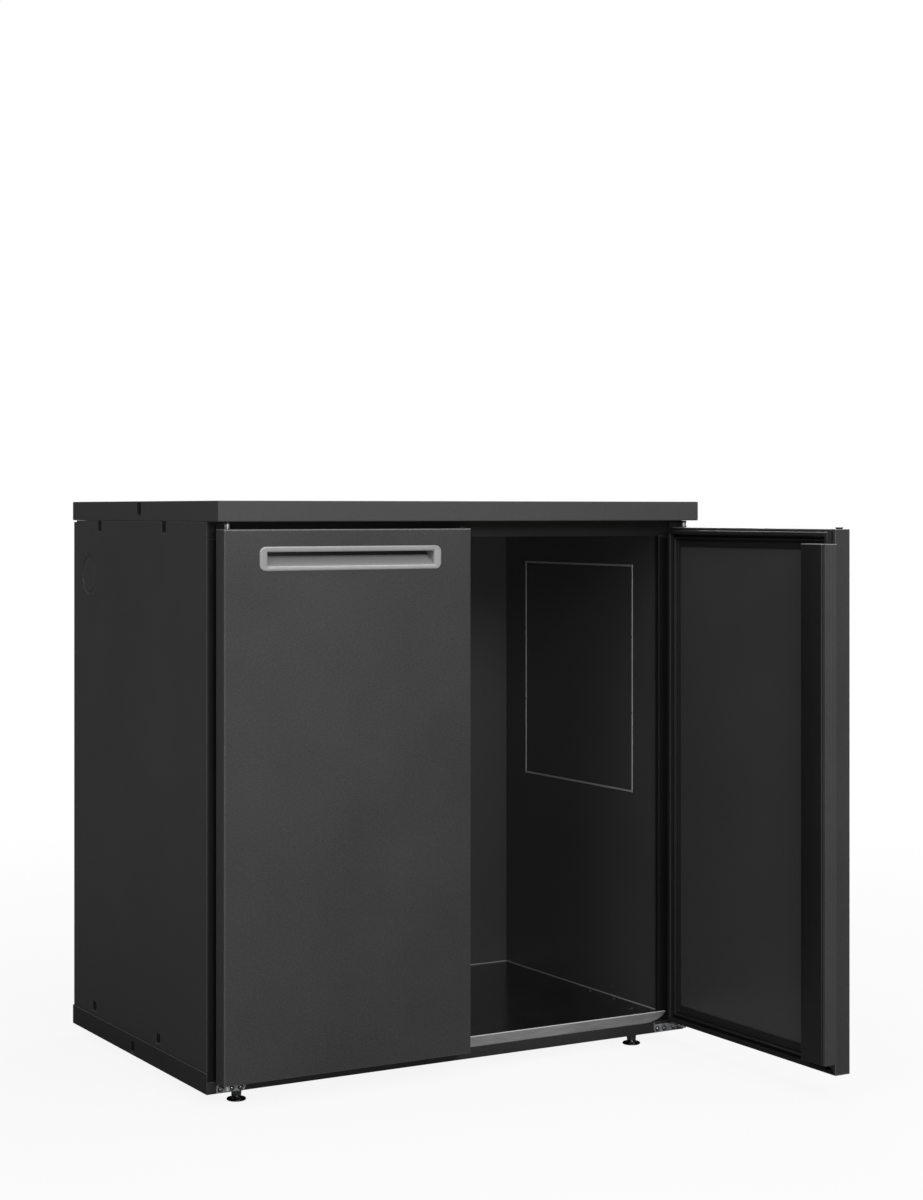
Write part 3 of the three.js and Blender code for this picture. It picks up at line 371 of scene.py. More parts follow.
# Every grain is drawn 0.6 to 6 mm wide, because most of the real ones are too fine to show in the picture
MATERIALS = {
    # Polyester powder coat, sprayed and baked on folded steel: satin, with a fine orange peel that is drawn
    # 2 to 3 mm coarse so that it shows, and folds that catch a thin line of light, painted paler along them as a
    # painted highlight
    "cabinet_coating": finish("powder_coated_steel_satin", "#303030", "#383838", 2.0, 0.02, (0.44, 0.54),
                              fold=1.8, edge_highlight="#707070", specular=0.28),
    # On the doors the coat's painted highlight along the folds is paler still
    "door_coating": finish("powder_coated_steel_fine_texture", "#2b2b2b", "#3a3a3a", 3.0, 0.04, (0.4, 0.48),
                           fold=2.0, edge_highlight="#969696", specular=0.34),
    # The same coat painted darker on the frame as painted shade, where the doors keep it in shade, with a faint
    # painted highlight along its folds
    "frame_coating": finish("powder_coated_steel_painted_shade", "#101010", "#171717", 2.0, 0.015, (0.36, 0.44),
                            fold=2.0, edge_highlight="#363636", specular=0.3),
    # Coil-coated sheet of the inside: rolled flat, so it is smoother and mirrors light softly
    "liner_coating": finish("coil_coated_steel", "#343434", "#3c3c3c", 3.0, 0.008, (0.3, 0.38),
                            fold=0.5, specular=0.4),
    # Electrophoretic paint on the upper brackets: a thin even black that keeps the steel's edges crisp
    "hinge_coating": finish("e_coated_steel", "#161616", "#1e1e1e", 1.5, 0.01, (0.35, 0.45), fold=0.4),
    # ABS moulded in an etched tool: dull grey close to the coat of the panel round it
    "port_cap_coating": finish("moulded_abs_dark", "#323232", "#3a3a3a", 2.0, 0.02, (0.44, 0.52),
                               specular=0.28),
    # Poplar plywood, peeled and pressed: warm, with long faint fibres
    "core_board": finish("poplar_plywood", "#9c8058", "#b89a6e", 1.2, 0.05, (0.7, 0.8), stretch=(30, 1, 1)),
    # Poured polyurethane foam: pale yellow, dull, with cells drawn 1.5 mm wide
    "foam": finish("polyurethane_foam_poured", "#cfc493", "#ded4a8", 1.5, 0.2, (0.9, 0.95)),
    # Stainless sheet with a bright annealed face: it mirrors the room, with faint rolling lines
    "stainless_sheet": finish("stainless_steel_bright_annealed", "#a4a4a4", "#c4c4c4", 2.2, 0.012,
                              (0.12, 0.24), stretch=(5, 1, 1), smudge=70, fold=0.6, metallic=1.0),
    # Zinc-plated, passivated steel: bluish bright, with a mottle about 3 mm wide
    "zinc_plate": finish("zinc_plated_steel", "#8c8e90", "#d2d4d6", 3.0, 0.05, (0.3, 0.5), fold=0.5,
                         smudge=12, metallic=0.7),
    # Glass-filled nylon, moulded in a polished tool: black, with sharp small highlights, and a painted highlight
    # along the rim of each foot's disc
    "foot_plastic": finish("nylon_black_moulded", "#080808", "#0d0d0d", 1.0, 0.004, (0.1, 0.16), fold=0.7,
                           edge_highlight="#a0a0a0"),
    # ABS, moulded in a matt tool: black or grey, with a soft broad highlight
    "black_plastic": finish("abs_black_moulded", "#141414", "#1a1a1a", 1.0, 0.02, (0.4, 0.5), fold=0.5),
    "knob_plastic": finish("abs_grey_moulded", "#6c6c6c", "#747474", 1.0, 0.015, (0.38, 0.46), fold=0.4),
    # Aluminium sheet, mill finish: pale and soft, with faint rolling lines
    "aluminium_sheet": finish("aluminium_mill_finish", "#c2c4c6", "#d0d2d4", 0.9, 0.004, (0.34, 0.44),
                              stretch=(1, 60, 1), fold=0.6, metallic=1.0),
    # Aluminium fin stock, rolled thin and left bare: the palest aluminium, with a soft sheen
    "aluminium_fins": finish("aluminium_fin_stock", "#c6c8ca", "#d4d6d8", 1.5, 0.004, (0.3, 0.4),
                             metallic=1.0),
    # Drawn copper tube: warm, with dull patches where it was handled
    "copper_tube": finish("copper_drawn", "#b46f4c", "#d08a64", 6.0, 0.004, (0.22, 0.42), smudge=25,
                          metallic=1.0),
    # Aluminium with a grey lacquer over a satin etch: mid grey, evenly soft, with a painted highlight along its
    # chamfers
    "handle_aluminium": finish("aluminium_grey_lacquered", "#8c8c8c", "#969696", 0.9, 0.006, (0.3, 0.38),
                               stretch=(12, 1, 1), fold=0.6, edge_highlight="#cacaca", metallic=0.15),
    # Black anodised, extruded aluminium: nearly black, with a silky sheen along its length
    "profile_aluminium": finish("aluminium_black_anodised", "#1a1a1a", "#212121", 0.8, 0.004, (0.34, 0.42),
                                stretch=(1, 1, 40), metallic=0.3),
    # Extruded soft PVC: black, dull, with a little bloom
    "gasket_rubber": finish("soft_pvc_black_extruded", "#141414", "#1a1a1a", 3.0, 0.01, (0.48, 0.6),
                            specular=0.26),
    # The same in dark grey on the meeting seals, smoother so that each rib shows a line of light
    "seal_rubber": finish("soft_pvc_grey_extruded", "#303030", "#3a3a3a", 3.0, 0.01, (0.42, 0.5)),
}
# Sawn end of the meeting profile: bare metal with fine saw marks, brighter than its anodised faces, and made pale
# enough to paint the highlight along the profile's top
SAWN_END_AND_HIGHLIGHT = finish("aluminium_sawn_painted_highlight", "#8c8c8c", "#a0a0a0", 0.6, 0.01, (0.4, 0.5), metallic=0.5)
# Worktop: the cabinet's powder coat with a coarser texture, which scatters light more, painted a step paler than
# the cabinet's as painted light on its lit front
WORKTOP_COATING = finish("powder_coated_steel_coarse_painted_light", "#3a3a3a", "#424242", 2.0, 0.03, (0.62, 0.7),
                         fold=1.8, specular=0.28)
# Base: the same coarse coat painted darker as painted shade, with a painted highlight along its folds
BASE_COATING = finish("powder_coated_steel_coarse_painted_shade", "#252525", "#2d2d2d", 2.0, 0.03, (0.6, 0.68),
                      fold=1.8, edge_highlight="#707070", specular=0.28)
# Face of the plinth below the doors: the base's painted-shade coat a step darker still, as painted shade under the
# doors, with no fold in it
PLINTH_COATING = finish("powder_coated_steel_coarse_plinth", "#242424", "#2c2c2c", 2.0, 0.03, (0.6, 0.68),
                        specular=0.28)
# Hexagon of a foot: the same black nylon painted mid grey as painted light on its facets, which the base keeps
# from the lamps, rougher so they scatter more light, and with a painted highlight along its folds
PAINTED_LIT_NYLON = finish("nylon_painted_lit", "#343434", "#464646", 1.5, 0.02, (0.22, 0.34), fold=0.8,
                       edge_highlight="#9a9a9a")
# Plugs over the panel locks: soft black rubber, painted darker still and given little sheen as painted shade of
# the recesses they sit in
PLUG_RUBBER_AND_SHADE = finish("synthetic_rubber_painted_shade", "#0c0c0c", "#121212", 2.0, 0.01, (0.6, 0.7),
                     specular=0.15)
# Screws and wire: bright zinc over steel, smooth enough for small sharp highlights
SCREW_STEEL = finish("zinc_plated_steel_bright", "#b0b2b4", "#c8cacc", 2.0, 0.006, (0.2, 0.3), metallic=1.0)
# Stainless strip round the service port and the floor pan's raised edge: ground with a fine belt, so it
# scatters light and stays pale where a polished one would mirror the dark inside
GROUND_STRIP = finish("stainless_steel_belt_ground", "#a8a8a8", "#c0c0c0", 0.8, 0.01, (0.4, 0.5),
                      fold=0.8, metallic=0.5)
# Face of the sill: stainless sheet brushed along its length, so its lines gather the light of each lamp
BRUSHED_SILL = finish("stainless_steel_brushed", "#acacac", "#c8c8c8", 2.0, 0.01, (0.2, 0.42),
                      stretch=(16, 1, 1), smudge=150, metallic=0.8)
# Rolled front edge of the floor pan: painted the palest metal of all and barely metallic, a painted highlight
# along the pan's front edge
HEM_HIGHLIGHT = finish("stainless_steel_painted_highlight", "#c4c4c4", "#d6d6d6", 0.8, 0.005, (0.3, 0.4), metallic=0.2)

# Nodes whose finish isn't that of the rest of their slot
OWN_FINISHES = {
    "port_trim_frame": GROUND_STRIP,
    "worktop_skin": WORKTOP_COATING,
    "base_frame": BASE_COATING,
}


def dress_frame():
    """Gives every node of the frame its own finish, or else that of its slot."""
    for name, node in frame["nodes"].items():
        material = OWN_FINISHES.get(name, MATERIALS[SLOT_OF[name]])
        if not node.material_slots:
            node.data.materials.append(material)
        for place in node.material_slots:
            place.material = material


# Feet and hinges

# Profiles of a levelling foot, each point (radius, height off the floor)
FOOT_DISC = [(15.8, 0), (17.2, 0.4), (17.9, 1.3), (18, 2.2), (17.6, 3.2), (16.7, 4.0), (15.4, 4.4), (13, 4.1),
             (11, 4.4), (9.4, 6.2), (8.8, 8.4), (8.6, 10.2), (8, 10.4)]
FOOT_STUD = [(5, 21.0), (5, 45), (4, 46)]
FOOT_HEXAGON = [(8.6, 8.6), (9.8, 9.2), (10.3, 10.2), (10.3, 20.2), (9.8, 21.2), (8.4, 21.7)]

# Lower bracket, drawn on the right: its sheet, the places of its screws, and the profiles of a black ring under
# each screw, painted shade of its countersunk recess, and of a screw on it, each point (radius, way back from
# the bracket's face)
BRACKET_SHEET = 1.5
BRACKET_SCREWS_X = (464, 481, 504)
BRACKET_SCREWS_Z = 29.6
SHADE_RING = [(5.2, 0.2), (5.2, -0.6), (4.8, -0.9), (2.6, -0.9)]
BRACKET_SCREW = [(3.3, 0), (3.3, -1.6), (2.8, -2.3), (1.8, -2.7), (0.6, -2.8)]

# Heads of screws, each (radius, height, depth of its socket)
TRIM_SCREW = (1.6, 0.5, 0.4)
GUARD_SCREW = (2.6, 2.4, 1)
COVER_SCREW = (3.2, 1.4, 0.9)
PANEL_SCREW = (3.4, 1.2, 0.8)

# Profile of the sleeve on an upper pin, each point (radius, height above the door)
PIN_SLEEVE = [(4.1, 0.5), (5.8, 0.5), (6, 1), (6, 2.4), (5.2, 3), (5.2, 9.4), (4.1, 9.4)]


def screw_head(centre, axis, radius, proud, recess, sign=1):
    """A pan head with a socket in it: rings out from the socket's floor, over the dome and down its side."""
    socket = radius * 0.42
    profile = [(socket, proud - recess), (socket, proud - 0.1), (socket + 0.25, proud),
               (radius * 0.72, proud * 0.97), (radius * 0.92, proud * 0.7), (radius, proud * 0.35),
               (radius, -0.4)]
    return turned([(r, sign * h) for r, h in profile], centre, axis, 18)


def make_feet():
    """Levelling feet: a domed disc with a neck and a stud, and a hexagon with eased ends round the neck."""
    for place in ("front_left", "back_left", "front_right", "back_right"):
        node, body = f"levelling_foot_{place}", f"{place}_foot"
        centre = line_through(node, "z")
        disc = turned(FOOT_DISC, centre, around=64)
        stud = turned(FOOT_STUD, centre, around=24)
        hexagon = turned(FOOT_HEXAGON, centre, around=6)
        make(f"foot_{place}", joined([disc, stud]), SLOT_OF[node], [node], body, sharp=30)
        # The hexagon's grey is painted light
        make(f"foot_hexagon_{place}", hexagon, SLOT_OF[node], (), body, PAINTED_LIT_NYLON, sharp=30)


def lower_hinge():
    """Zinc bracket of the right door, folded from one strip: a plate with a round inner end, a rim folded
    forward round that end and up past the plate, an arm that narrows to a round nose under the door, and the
    shouldered pin riveted into it."""
    (_, _, under), (outer, back, pin_top) = limits("right_lower_hinge")
    inner, over, arm_under, arm_root, nose = 455, 38.5, 35.5, 486, 6
    rim_top, rim_sheet, rim_front, rim_back = 43, 1.3, 4.5, 1.2
    middle, half = (under + over) / 2, (over - under) / 2

    turn = np.linspace(np.pi / 2, 1.5 * np.pi, 16)
    round_end = np.stack([inner + half + half * np.cos(turn), middle + half * np.sin(turn)], axis=-1)
    outline = np.concatenate([round_end, [[outer, under], [outer, over]]])
    plate = carried(outline, "y", back - BRACKET_SHEET, back)

    low_turn = np.linspace(1.5 * np.pi, np.pi, 12)
    rim = []
    for size in (half, half - rim_sheet):
        bend = np.stack([inner + half + size * np.cos(low_turn), middle + size * np.sin(low_turn)], axis=-1)
        rim.append(np.concatenate([bend, [[inner + half - size, rim_top - half + size]]]))
    hook = carried(np.concatenate([rim[0], rim[1][::-1]]), "y", back - rim_front, back - rim_back)

    swing = np.linspace(-np.pi, 0, 24)
    tip = np.stack([HINGE_X + nose * np.cos(swing), HINGE_Y + nose * np.sin(swing)], axis=-1)
    root = [[outer, back - 0.4], [arm_root, back - 0.4]]
    arm = carried(np.concatenate([tip, root]), "z", arm_under, over)
    pin = turned([(5.5, over - 0.4), (5.5, DOOR_Z0 - 0.8), (5.1, DOOR_Z0 - 0.3), (4, DOOR_Z0 - 0.25),
                  (4, pin_top - 0.8), (3.2, pin_top)], [HINGE_X, HINGE_Y, 0])
    rivet = turned([(5.2, 0.4), (5.2, -0.8), (4.2, -1.6), (2, -2)], [HINGE_X, HINGE_Y, arm_under])
    return joined([plate, arm, hook, pin, rivet])


def make_hinges():
    """Brackets below the doors, their screws on black rings that paint the shade of their recesses, and the
    sleeves on the upper pins.
    """
    bracket = lower_hinge()
    for side in ("right", "left"):
        make(f"lower_hinge_bracket_{side}", on_side(side, bracket), "zinc_plate",
             [f"{side}_lower_hinge"], sharp=30)
    face = limits("right_lower_hinge")[1][1] - BRACKET_SHEET
    places = [[x, face, BRACKET_SCREWS_Z] for x in BRACKET_SCREWS_X]
    shade_rings = joined([turned(SHADE_RING, place, "y", 28) for place in places])
    screws = joined([turned(BRACKET_SCREW, place, "y", 24) for place in places])
    for side in ("right", "left"):
        make(f"lower_hinge_shade_rings_{side}", on_side(side, shade_rings), "black_plastic")
        make(f"lower_hinge_screws_{side}", on_side(side, screws), "zinc_plate",
             material=SCREW_STEEL)
    sleeves = joined([turned(PIN_SLEEVE, [x, HINGE_Y, DOOR_Z1]) for x in (-HINGE_X, HINGE_X)])
    make("upper_pin_sleeves", sleeves, "zinc_plate", material=SCREW_STEEL, sharp=30)


def make_plinth():
    """The face of the base behind the lower brackets, and the bead of sealant under the sill."""
    thick, sill = 0.24, PAN_LOW[2]
    x, y = BASE_HIGH[0] - 1.5, BASE_LOW[1] - 0.02
    strip = slab("y", (-x, x), (BASE_LOW[2] + 0.4, sill - 0.5), (y - thick, y), 0.5, 0.05)
    make("plinth_strip", strip, SLOT_OF["base_frame"], material=PLINTH_COATING)
    x, y, half = JAMB_HIGH[0] + 1, JAMB_LOW[1] - 0.22, 1.6
    bead = slab("y", (-x, x), (sill - half, sill + half), (y - thick, y), 0.3, 0.05)
    make("sill_sealant", bead, "gasket_rubber")


# Doors

# The handle on the shut right door: its rim's box, the mouth, back, roof and lip of its bowl, and the depth
# and height of its ramp's upper edge
RIM_LOW, RIM_HIGH = drawn_limits("left", "door_handle")
MOUTH_X = (RIM_LOW[0] + 16, RIM_HIGH[0] - 16)
MOUTH_Z = (RIM_LOW[2] + 8, RIM_HIGH[2] - 10)
BOWL_BACK = RIM_HIGH[1] - 2
BOWL_ROOF = RIM_HIGH[2] - 5
BOWL_LIP = 7
RAMP_TOP = [25, RIM_HIGH[2] - 17.7]

# Profiles of the caps on a door's spare pin sockets, each point (radius, height above its top or bottom)
TOP_CAP = [(4, -4), (5.4, -0.2), (5.6, 0.5), (7, 1.1), (7.2, 2.7), (6.6, 3.2)]
BOTTOM_CAP = [(4, 4), (6, -0.1), (7, -0.6), (6.6, -2)]


def handle_shape():
    """Recessed handle: a rim that stands a little proud, chamfered outside and in, and a bowl with a ramp
    that leads the fingers up behind the upper lip. The rim goes round once in its section; the bowl's section
    is carried along the door."""
    rim_corner, mouth_corner = 12, 1.2
    outer = [(0.3, -0.1), (0, -0.2), (0.1, -0.4), (1.5, -1.7), (1.9, -1.8), (3.1, -1.8)]
    inner = [(-2.6, -1.8), (-2.2, -1.7), (-0.2, 0.4), (0, 0.8), (0, BOWL_LIP), (-1.5, BOWL_LIP), (-1.5, -0.1)]
    rim = drawn_in((RIM_LOW[0], RIM_HIGH[0]), (RIM_LOW[2], RIM_HIGH[2]), rim_corner, outer)
    flange = nested("y", rim + drawn_in(MOUTH_X, MOUTH_Z, mouth_corner, inner), wrap=True)

    back, floor, top = RIM_HIGH[1], RIM_LOW[2] + 4.2, RIM_HIGH[2] - 2.9
    ramp = [[0, MOUTH_Z[0]], [RAMP_TOP[0] - 1, RAMP_TOP[1] - 0.7], RAMP_TOP]
    hollow = [[BOWL_BACK, RAMP_TOP[1]], [BOWL_BACK, BOWL_ROOF], [BOWL_LIP, BOWL_ROOF], [BOWL_LIP, top],
              [back, top], [back, floor], [0, floor]]
    bowl = carried(ramp + hollow, "x", MOUTH_X[0] - 1, MOUTH_X[1] + 1)
    wall, gap = 4, 0.2
    ends = [slab("x", (0, back), (floor, top), (x, x + wall), 2, 0.3)
            for x in (MOUTH_X[0] - gap - wall, MOUTH_X[1] + gap)]
    return joined([flange, bowl, *ends])


def handle_shade_strips():
    """Painted shade in the bowl: a black strip down its back above the ramp, and one along its roof."""
    along = (MOUTH_X[0] + 0.2, MOUTH_X[1] - 0.2)
    heights = (RAMP_TOP[1] - 0.4, BOWL_ROOF - 0.2)
    back = slab("y", along, heights, (BOWL_BACK - 1.3, BOWL_BACK + 0.1), 0.6, 0.2)
    roof = slab("z", along, (BOWL_LIP + 0.2, BOWL_BACK - 0.1), (BOWL_ROOF - 1.2, BOWL_ROOF + 0.1), 0.6, 0.2)
    return joined([back, roof])


def gasket_shape(profile_low, profile_high):
    """Door gasket: a flat mat with a bellows of two pleats and a low lip. The section, (distance in from the
    door's edge, height off its inner face), is carried round the door with mitred corners. It stops at the
    meeting profile, which covers the rest of its run down the free edge, and its mat is cut narrower above
    and below the profile's ends. Along the door's bottom its bellows is cut lower."""
    section = np.array([
        [1.5, 0], [1.5, 2.2], [2.3, 3], [6.4, 3], [5.4, 5.6], [6.8, 8.2], [5.4, 11], [6.2, 14.2], [7.6, 15.5],
        [9.2, 15.7], [10, 15], [10.8, 15.7], [12.4, 15.5], [13.8, 14.2], [14.6, 11], [13.2, 8.2], [14.6, 5.6],
        [13.6, 3], [19, 3], [19.2, 8.6], [20.2, 9.7], [21.6, 9.7], [22.6, 8.6], [22.8, 3], [26.2, 3], [27, 4],
        [27.8, 3], [31, 3], [32, 2.2], [32, 0]])
    mat_side, mat_top, mat_low, low_bellows = 32, 38, 39, 14.2
    gap, notch, corner_run = 0.5, 0.05, 6
    low_run = section.copy()
    low_run[:, 1] = np.minimum(low_run[:, 1], low_bellows)

    def widened(ring, width):
        """A section whose mat reaches further in from the door's edge."""
        wide = ring.copy()
        wide[wide[:, 0] > mat_side - 2, 0] += width - mat_side
        return wide

    top, low, side = widened(section, mat_top), widened(low_run, mat_low), section
    free, hinge = DOOR_IN - 0.5, DOOR_OUT
    cut, cut_low, cut_top = profile_high[0] + gap, profile_low[2] - gap, profile_high[2] + gap
    top_z, low_z = DOOR_Z1 - top[:, 0], DOOR_Z0 + low[:, 0]

    def ring(x, z, heights):
        """A section at x and z, each one number or one for each of its points, so high off the inner face."""
        count = len(section)
        return np.stack([np.broadcast_to(x, count), profile_low[1] + heights, np.broadcast_to(z, count)], -1)

    return loft([
        ring(free + np.minimum(side[:, 0], DOOR_Z1 - profile_high[2]), cut_top, side[:, 1]),
        ring(free + top[:, 0], np.maximum(top_z, cut_top), top[:, 1]),
        ring(cut, np.maximum(top_z, cut_top), top[:, 1]),
        ring(cut + notch, top_z, top[:, 1]),
        ring(hinge - side[:, 0], top_z, top[:, 1]),
        ring(hinge - side[:, 0], low_z, side[:, 1]),
        ring(hinge - side[:, 0] - corner_run, low_z, low[:, 1]),
        ring(cut + notch, low_z, low[:, 1]),
        ring(cut, np.minimum(low_z, cut_low), low[:, 1]),
        ring(free + low[:, 0], np.minimum(low_z, cut_low), low[:, 1]),
    ])


def profile_shape(low, high):
    """Meeting profile: a tube of rounded section, open below. Its rings go down inside it and up outside."""
    wall, corner, lid_under, lid_over = 2, 2.2, 3, 1.6
    outside = (low[0], high[0], low[1], high[1], corner)
    inside = (low[0] + wall, high[0] - wall, low[1] + wall, high[1] - wall, corner - 1.2)
    return nested("z", [(*inside, high[2] - lid_under), (*inside, low[2]), (*outside, low[2]),
                        (*outside, high[2] - lid_over)])


def seal_shape(low, high, lean):
    """Meeting seal: a strip whose face leans back by so much and bulges in round ribs. Over one rib, s runs
    from -1 to 1 and the face stands in from the lean by depth times 1 - sqrt(1 - s^2)."""
    ribs, depth, end_gap = 4, 0.45, 1.6
    along = np.linspace(0, 1, ribs * 16 + 1)
    bulge = np.sqrt(1 - (2 * np.mod(along * ribs, 1) - 1) ** 2)
    face_x = low[0] + lean * (1 - along) + depth * (1 - bulge)
    face = np.stack([face_x, low[1] + (high[1] - low[1]) * along], axis=-1)
    outline = np.concatenate([face, [[high[0], high[1]], [high[0], low[1]]]])
    return carried(outline, "z", low[2], high[2] - end_gap)


def profile_end(profile, seal, lean):
    """Sawn end on top of the meeting profile, with a flat lid over its seal."""
    (x0, y0, _), (x1, y1, top) = profile
    (seal_x, front, _), (_, back, _) = seal
    under, corner, overlap = top - 1.5, 2.2, 2
    cap = slab("z", (x0, x1), (y0, y1), (under, top), corner, 0.3)
    outline = [[seal_x + lean, front], [seal_x, back], [x0 + overlap, back], [x0 + overlap, front]]
    return joined([cap, carried(outline, "z", under, top)])


def socket_caps():
    """Caps on the door's spare pin sockets, as far in from its free edge as the pins are from the other."""
    spare_x = DOOR_IN + DOOR_OUT - HINGE_X
    return joined([turned(TOP_CAP, [spare_x, HINGE_Y, DOOR_Z1]),
                   turned(BOTTOM_CAP, [spare_x, HINGE_Y, DOOR_Z0])])


def make_doors():
    """The pieces of each door. Both seals lean, the left one more, so the gap between them widens towards the
    front."""
    for side, lean in (("right", 1.7), ("left", 2.3)):
        profile = drawn_limits(side, "meeting_profile")
        seal = drawn_limits(side, "meeting_seal")
        pieces = [
            ("handle", handle_shape(), "handle_aluminium", ["door_handle"], {"sharp": 24}),
            # Black strips that paint the shade deep in the handle's bowl
            ("handle_shade_strips", handle_shade_strips(), "black_plastic", [], {}),
            ("gasket", gasket_shape(*profile), "gasket_rubber", ["door_gasket"], {"sharp": 50}),
            ("profile", profile_shape(*profile), "profile_aluminium", ["meeting_profile"], {"sharp": 30}),
            ("seal", seal_shape(*seal, lean), "seal_rubber", ["meeting_seal"], {"sharp": 50}),
            ("profile_end", profile_end(profile, seal, lean), "profile_aluminium", [],
             {"material": SAWN_END_AND_HIGHLIGHT}),
            ("socket_caps", socket_caps(), "black_plastic", [], {}),
        ]
        for name, shape, slot, nodes, options in pieces:
            make(f"{side}_{name}", on_door(side, shape), slot, [f"{side}_{node}" for node in nodes],
                 f"{side}_door", **options)


# Small fixings on the cabinet

# Sockets of the panel locks, each (middle in y, bottom, top)
PANEL_LOCKS = [(583, 1039, 1061.7), (253, 1039, 1061.7), (611, 69, 88), (280, 69, 88)]
BASE_LOCK = (405, 27, 49)
WORKTOP_LOCK = (372, 1072, 1098)

# Profile of the round port's cap, each point (way in from its rim, way in from its face)
PORT_CAP = [(0.4, 4.0), (0.4, 1.6), (0.9, 0.5), (2.0, 0.1), (3.2, 0), (3.6, 0.5), (4.4, 0.5), (4.8, 0)]
# Profile of a stud's head, each point (radius, height off the sheet), and the places of the studs on each
# side of the floor and low on the right wall
STUD_HEAD = [(3.4, -0.5), (3.4, 0.5), (2.6, 1.1), (1.2, 1.4)]
FLOOR_STUDS = ((436, 100), (457, 196), (457, 285))
WALL_STUD = (227, 81.5)


def lock_plug(socket, plane):
    """A plug over a panel lock: a coated plate that fills the socket, and a tongue on it with a round lower
    end. The tongue is drawn round at both ends and cut flat at its top."""
    y, z0, z1 = socket
    plate_half, gap, plate_x = 9.95, 0.05, (plane - 3.45, plane - 1.25)
    tongue_half, tongue_low, tongue_top, tongue_x = 8.2, z0 + 2.4, z1 - 0.2, (plane - 1.5, plane - 0.5)
    plate = slab("x", (y - plate_half, y + plate_half), (z0 + gap, z1 - gap), plate_x, 0.1, 0.05)
    points, faces = slab("x", (y - tongue_half, y + tongue_half), (tongue_low, tongue_top + 6.2), tongue_x,
                         tongue_half - 0.1, 0.4)
    return plate, (np.minimum(points, [np.inf, np.inf, tongue_top]), faces)


def make_lock_plugs():
    """Lock plugs of both side panels, and of the base and the worktop below and above them."""
    places = [(socket, PANEL_X) for socket in PANEL_LOCKS]
    places += [(BASE_LOCK, BASE_HIGH[0]), (WORKTOP_LOCK, WORKTOP_HIGH[0])]
    plates, tongues = zip(*(lock_plug(socket, plane) for socket, plane in places))
    for side in ("right", "left"):
        make(f"lock_plates_{side}", on_side(side, joined(plates)), "cabinet_coating")
        make(f"lock_plugs_{side}", on_side(side, joined(tongues)), "black_plastic",
             material=PLUG_RUBBER_AND_SHADE)


def make_ports():
    """The round port's cap with a groove round its face, and the screws of the service port's trim."""
    low, high = limits("left_port_cap")
    radius = (high[1] - low[1]) / 2
    rings = [(radius - inset, low[0] + way) for inset, way in PORT_CAP] + [(2, low[0])]
    cap = turned(rings, line_through("left_port_cap", "x"), "x", 96)
    make("port_cap", cap, "port_cap_coating", ["left_port_cap"])

    low, high = limits("port_trim_frame")
    edge, heights = 1.85, (663, 820)
    screws = joined([
        screw_head([low[0], y, z], "x", *TRIM_SCREW, sign=-1)
        for y in (low[1] + edge, high[1] - edge) for z in heights])
    make("port_trim_screws", screws, "black_plastic")


def make_floor_pan():
    """The floor pan's raised edges, rolled front edge, sill face and studs. The rolled edge's section is a
    circle about a line along the pan's front corner. The sill's ends sweep up along
    P(t) = (1 - t)^2 A + 2 t (1 - t) B + t^2 C."""
    front, sill, floor = PAN_LOW[1], PAN_LOW[2], PAN_HIGH[2]
    back = limits("rear_liner")[0][1] - 0.2
    ahead = JAMB_HIGH[1] + 1.5
    rise = (floor - 0.3, floor + 1.2)
    edges = [slab("z", (x - 0.6, x + 0.6), (ahead, back), rise, 0.5, 0.3)
             for x in (-LINER_X + 0.8, LINER_X - 0.8)]
    edges.append(slab("z", (-LINER_X + 1.4, LINER_X - 1.4), (back - 1.2, back), rise, 0.5, 0.3))
    make("floor_pan_edges", joined(edges), "stainless_sheet", material=GROUND_STRIP)

    roll, radius, reach = np.linspace(0, 2 * np.pi, 20, endpoint=False), 1.1, PAN_HIGH[0] - 2
    hem = np.stack([front + 0.4 + radius * np.cos(roll), floor - 0.7 + radius * np.sin(roll)], axis=-1)
    # The hem's pale finish is a painted highlight
    make("floor_pan_hem", carried(hem, "x", -reach, reach), "stainless_sheet",
         material=HEM_HIGHLIGHT)

    taper = PAN_HIGH[0] - 46
    first, pull, last = [taper, sill + 0.1], [taper + 34, sill + 3], [PAN_HIGH[0] - 0.4, floor - 1.2]
    t = np.linspace(0, 1, 12)[:, None]
    sweep = (1 - t) ** 2 * first + 2 * t * (1 - t) * pull + t**2 * last
    face = carried(np.concatenate([sweep, sweep[::-1] * [-1, 1]]), "y", front - 0.2, front - 0.02)
    make("sill_face", face, "stainless_sheet", material=BRUSHED_SILL)

    studs = [turned(STUD_HEAD, [x, y, floor], around=20) for x, y in FLOOR_STUDS]
    wall_stud = turned([(r, -h) for r, h in STUD_HEAD], [LINER_X, *WALL_STUD], "x", 20)
    make("floor_studs_right", joined([*studs, wall_stud]), "liner_coating")
    make("floor_studs_left", mirrored(joined(studs)), "liner_coating")


# Cooling unit on the left wall

# Angles of the lugs and screws that hold a fan's guard
GUARD_LUGS = (90, 210, 330)
# Profiles about the fan's axis and the knob's, each point (radius, way along the axis)
FAN_HUB = [(10, 0), (21, 0), (22, 0.8), (22, 10.5), (21, 12.4), (18, 13), (6, 13.2), (2, 13.2)]
KNOB = [(12, 0), (16.9, 0), (16.9, -1.5), (16.2, -2.2), (15.6, -12), (14.6, -13.6), (12, -14), (3, -14)]


def ring_of_wire(centre, radius, wire):
    """A wire bent round a circle about the x axis."""
    angle = np.linspace(0, 2 * np.pi, 72, endpoint=False)
    path = np.stack([0 * angle, radius * np.cos(angle), radius * np.sin(angle)], axis=-1) + centre
    return tube(path, wire, 8, wrap=True)


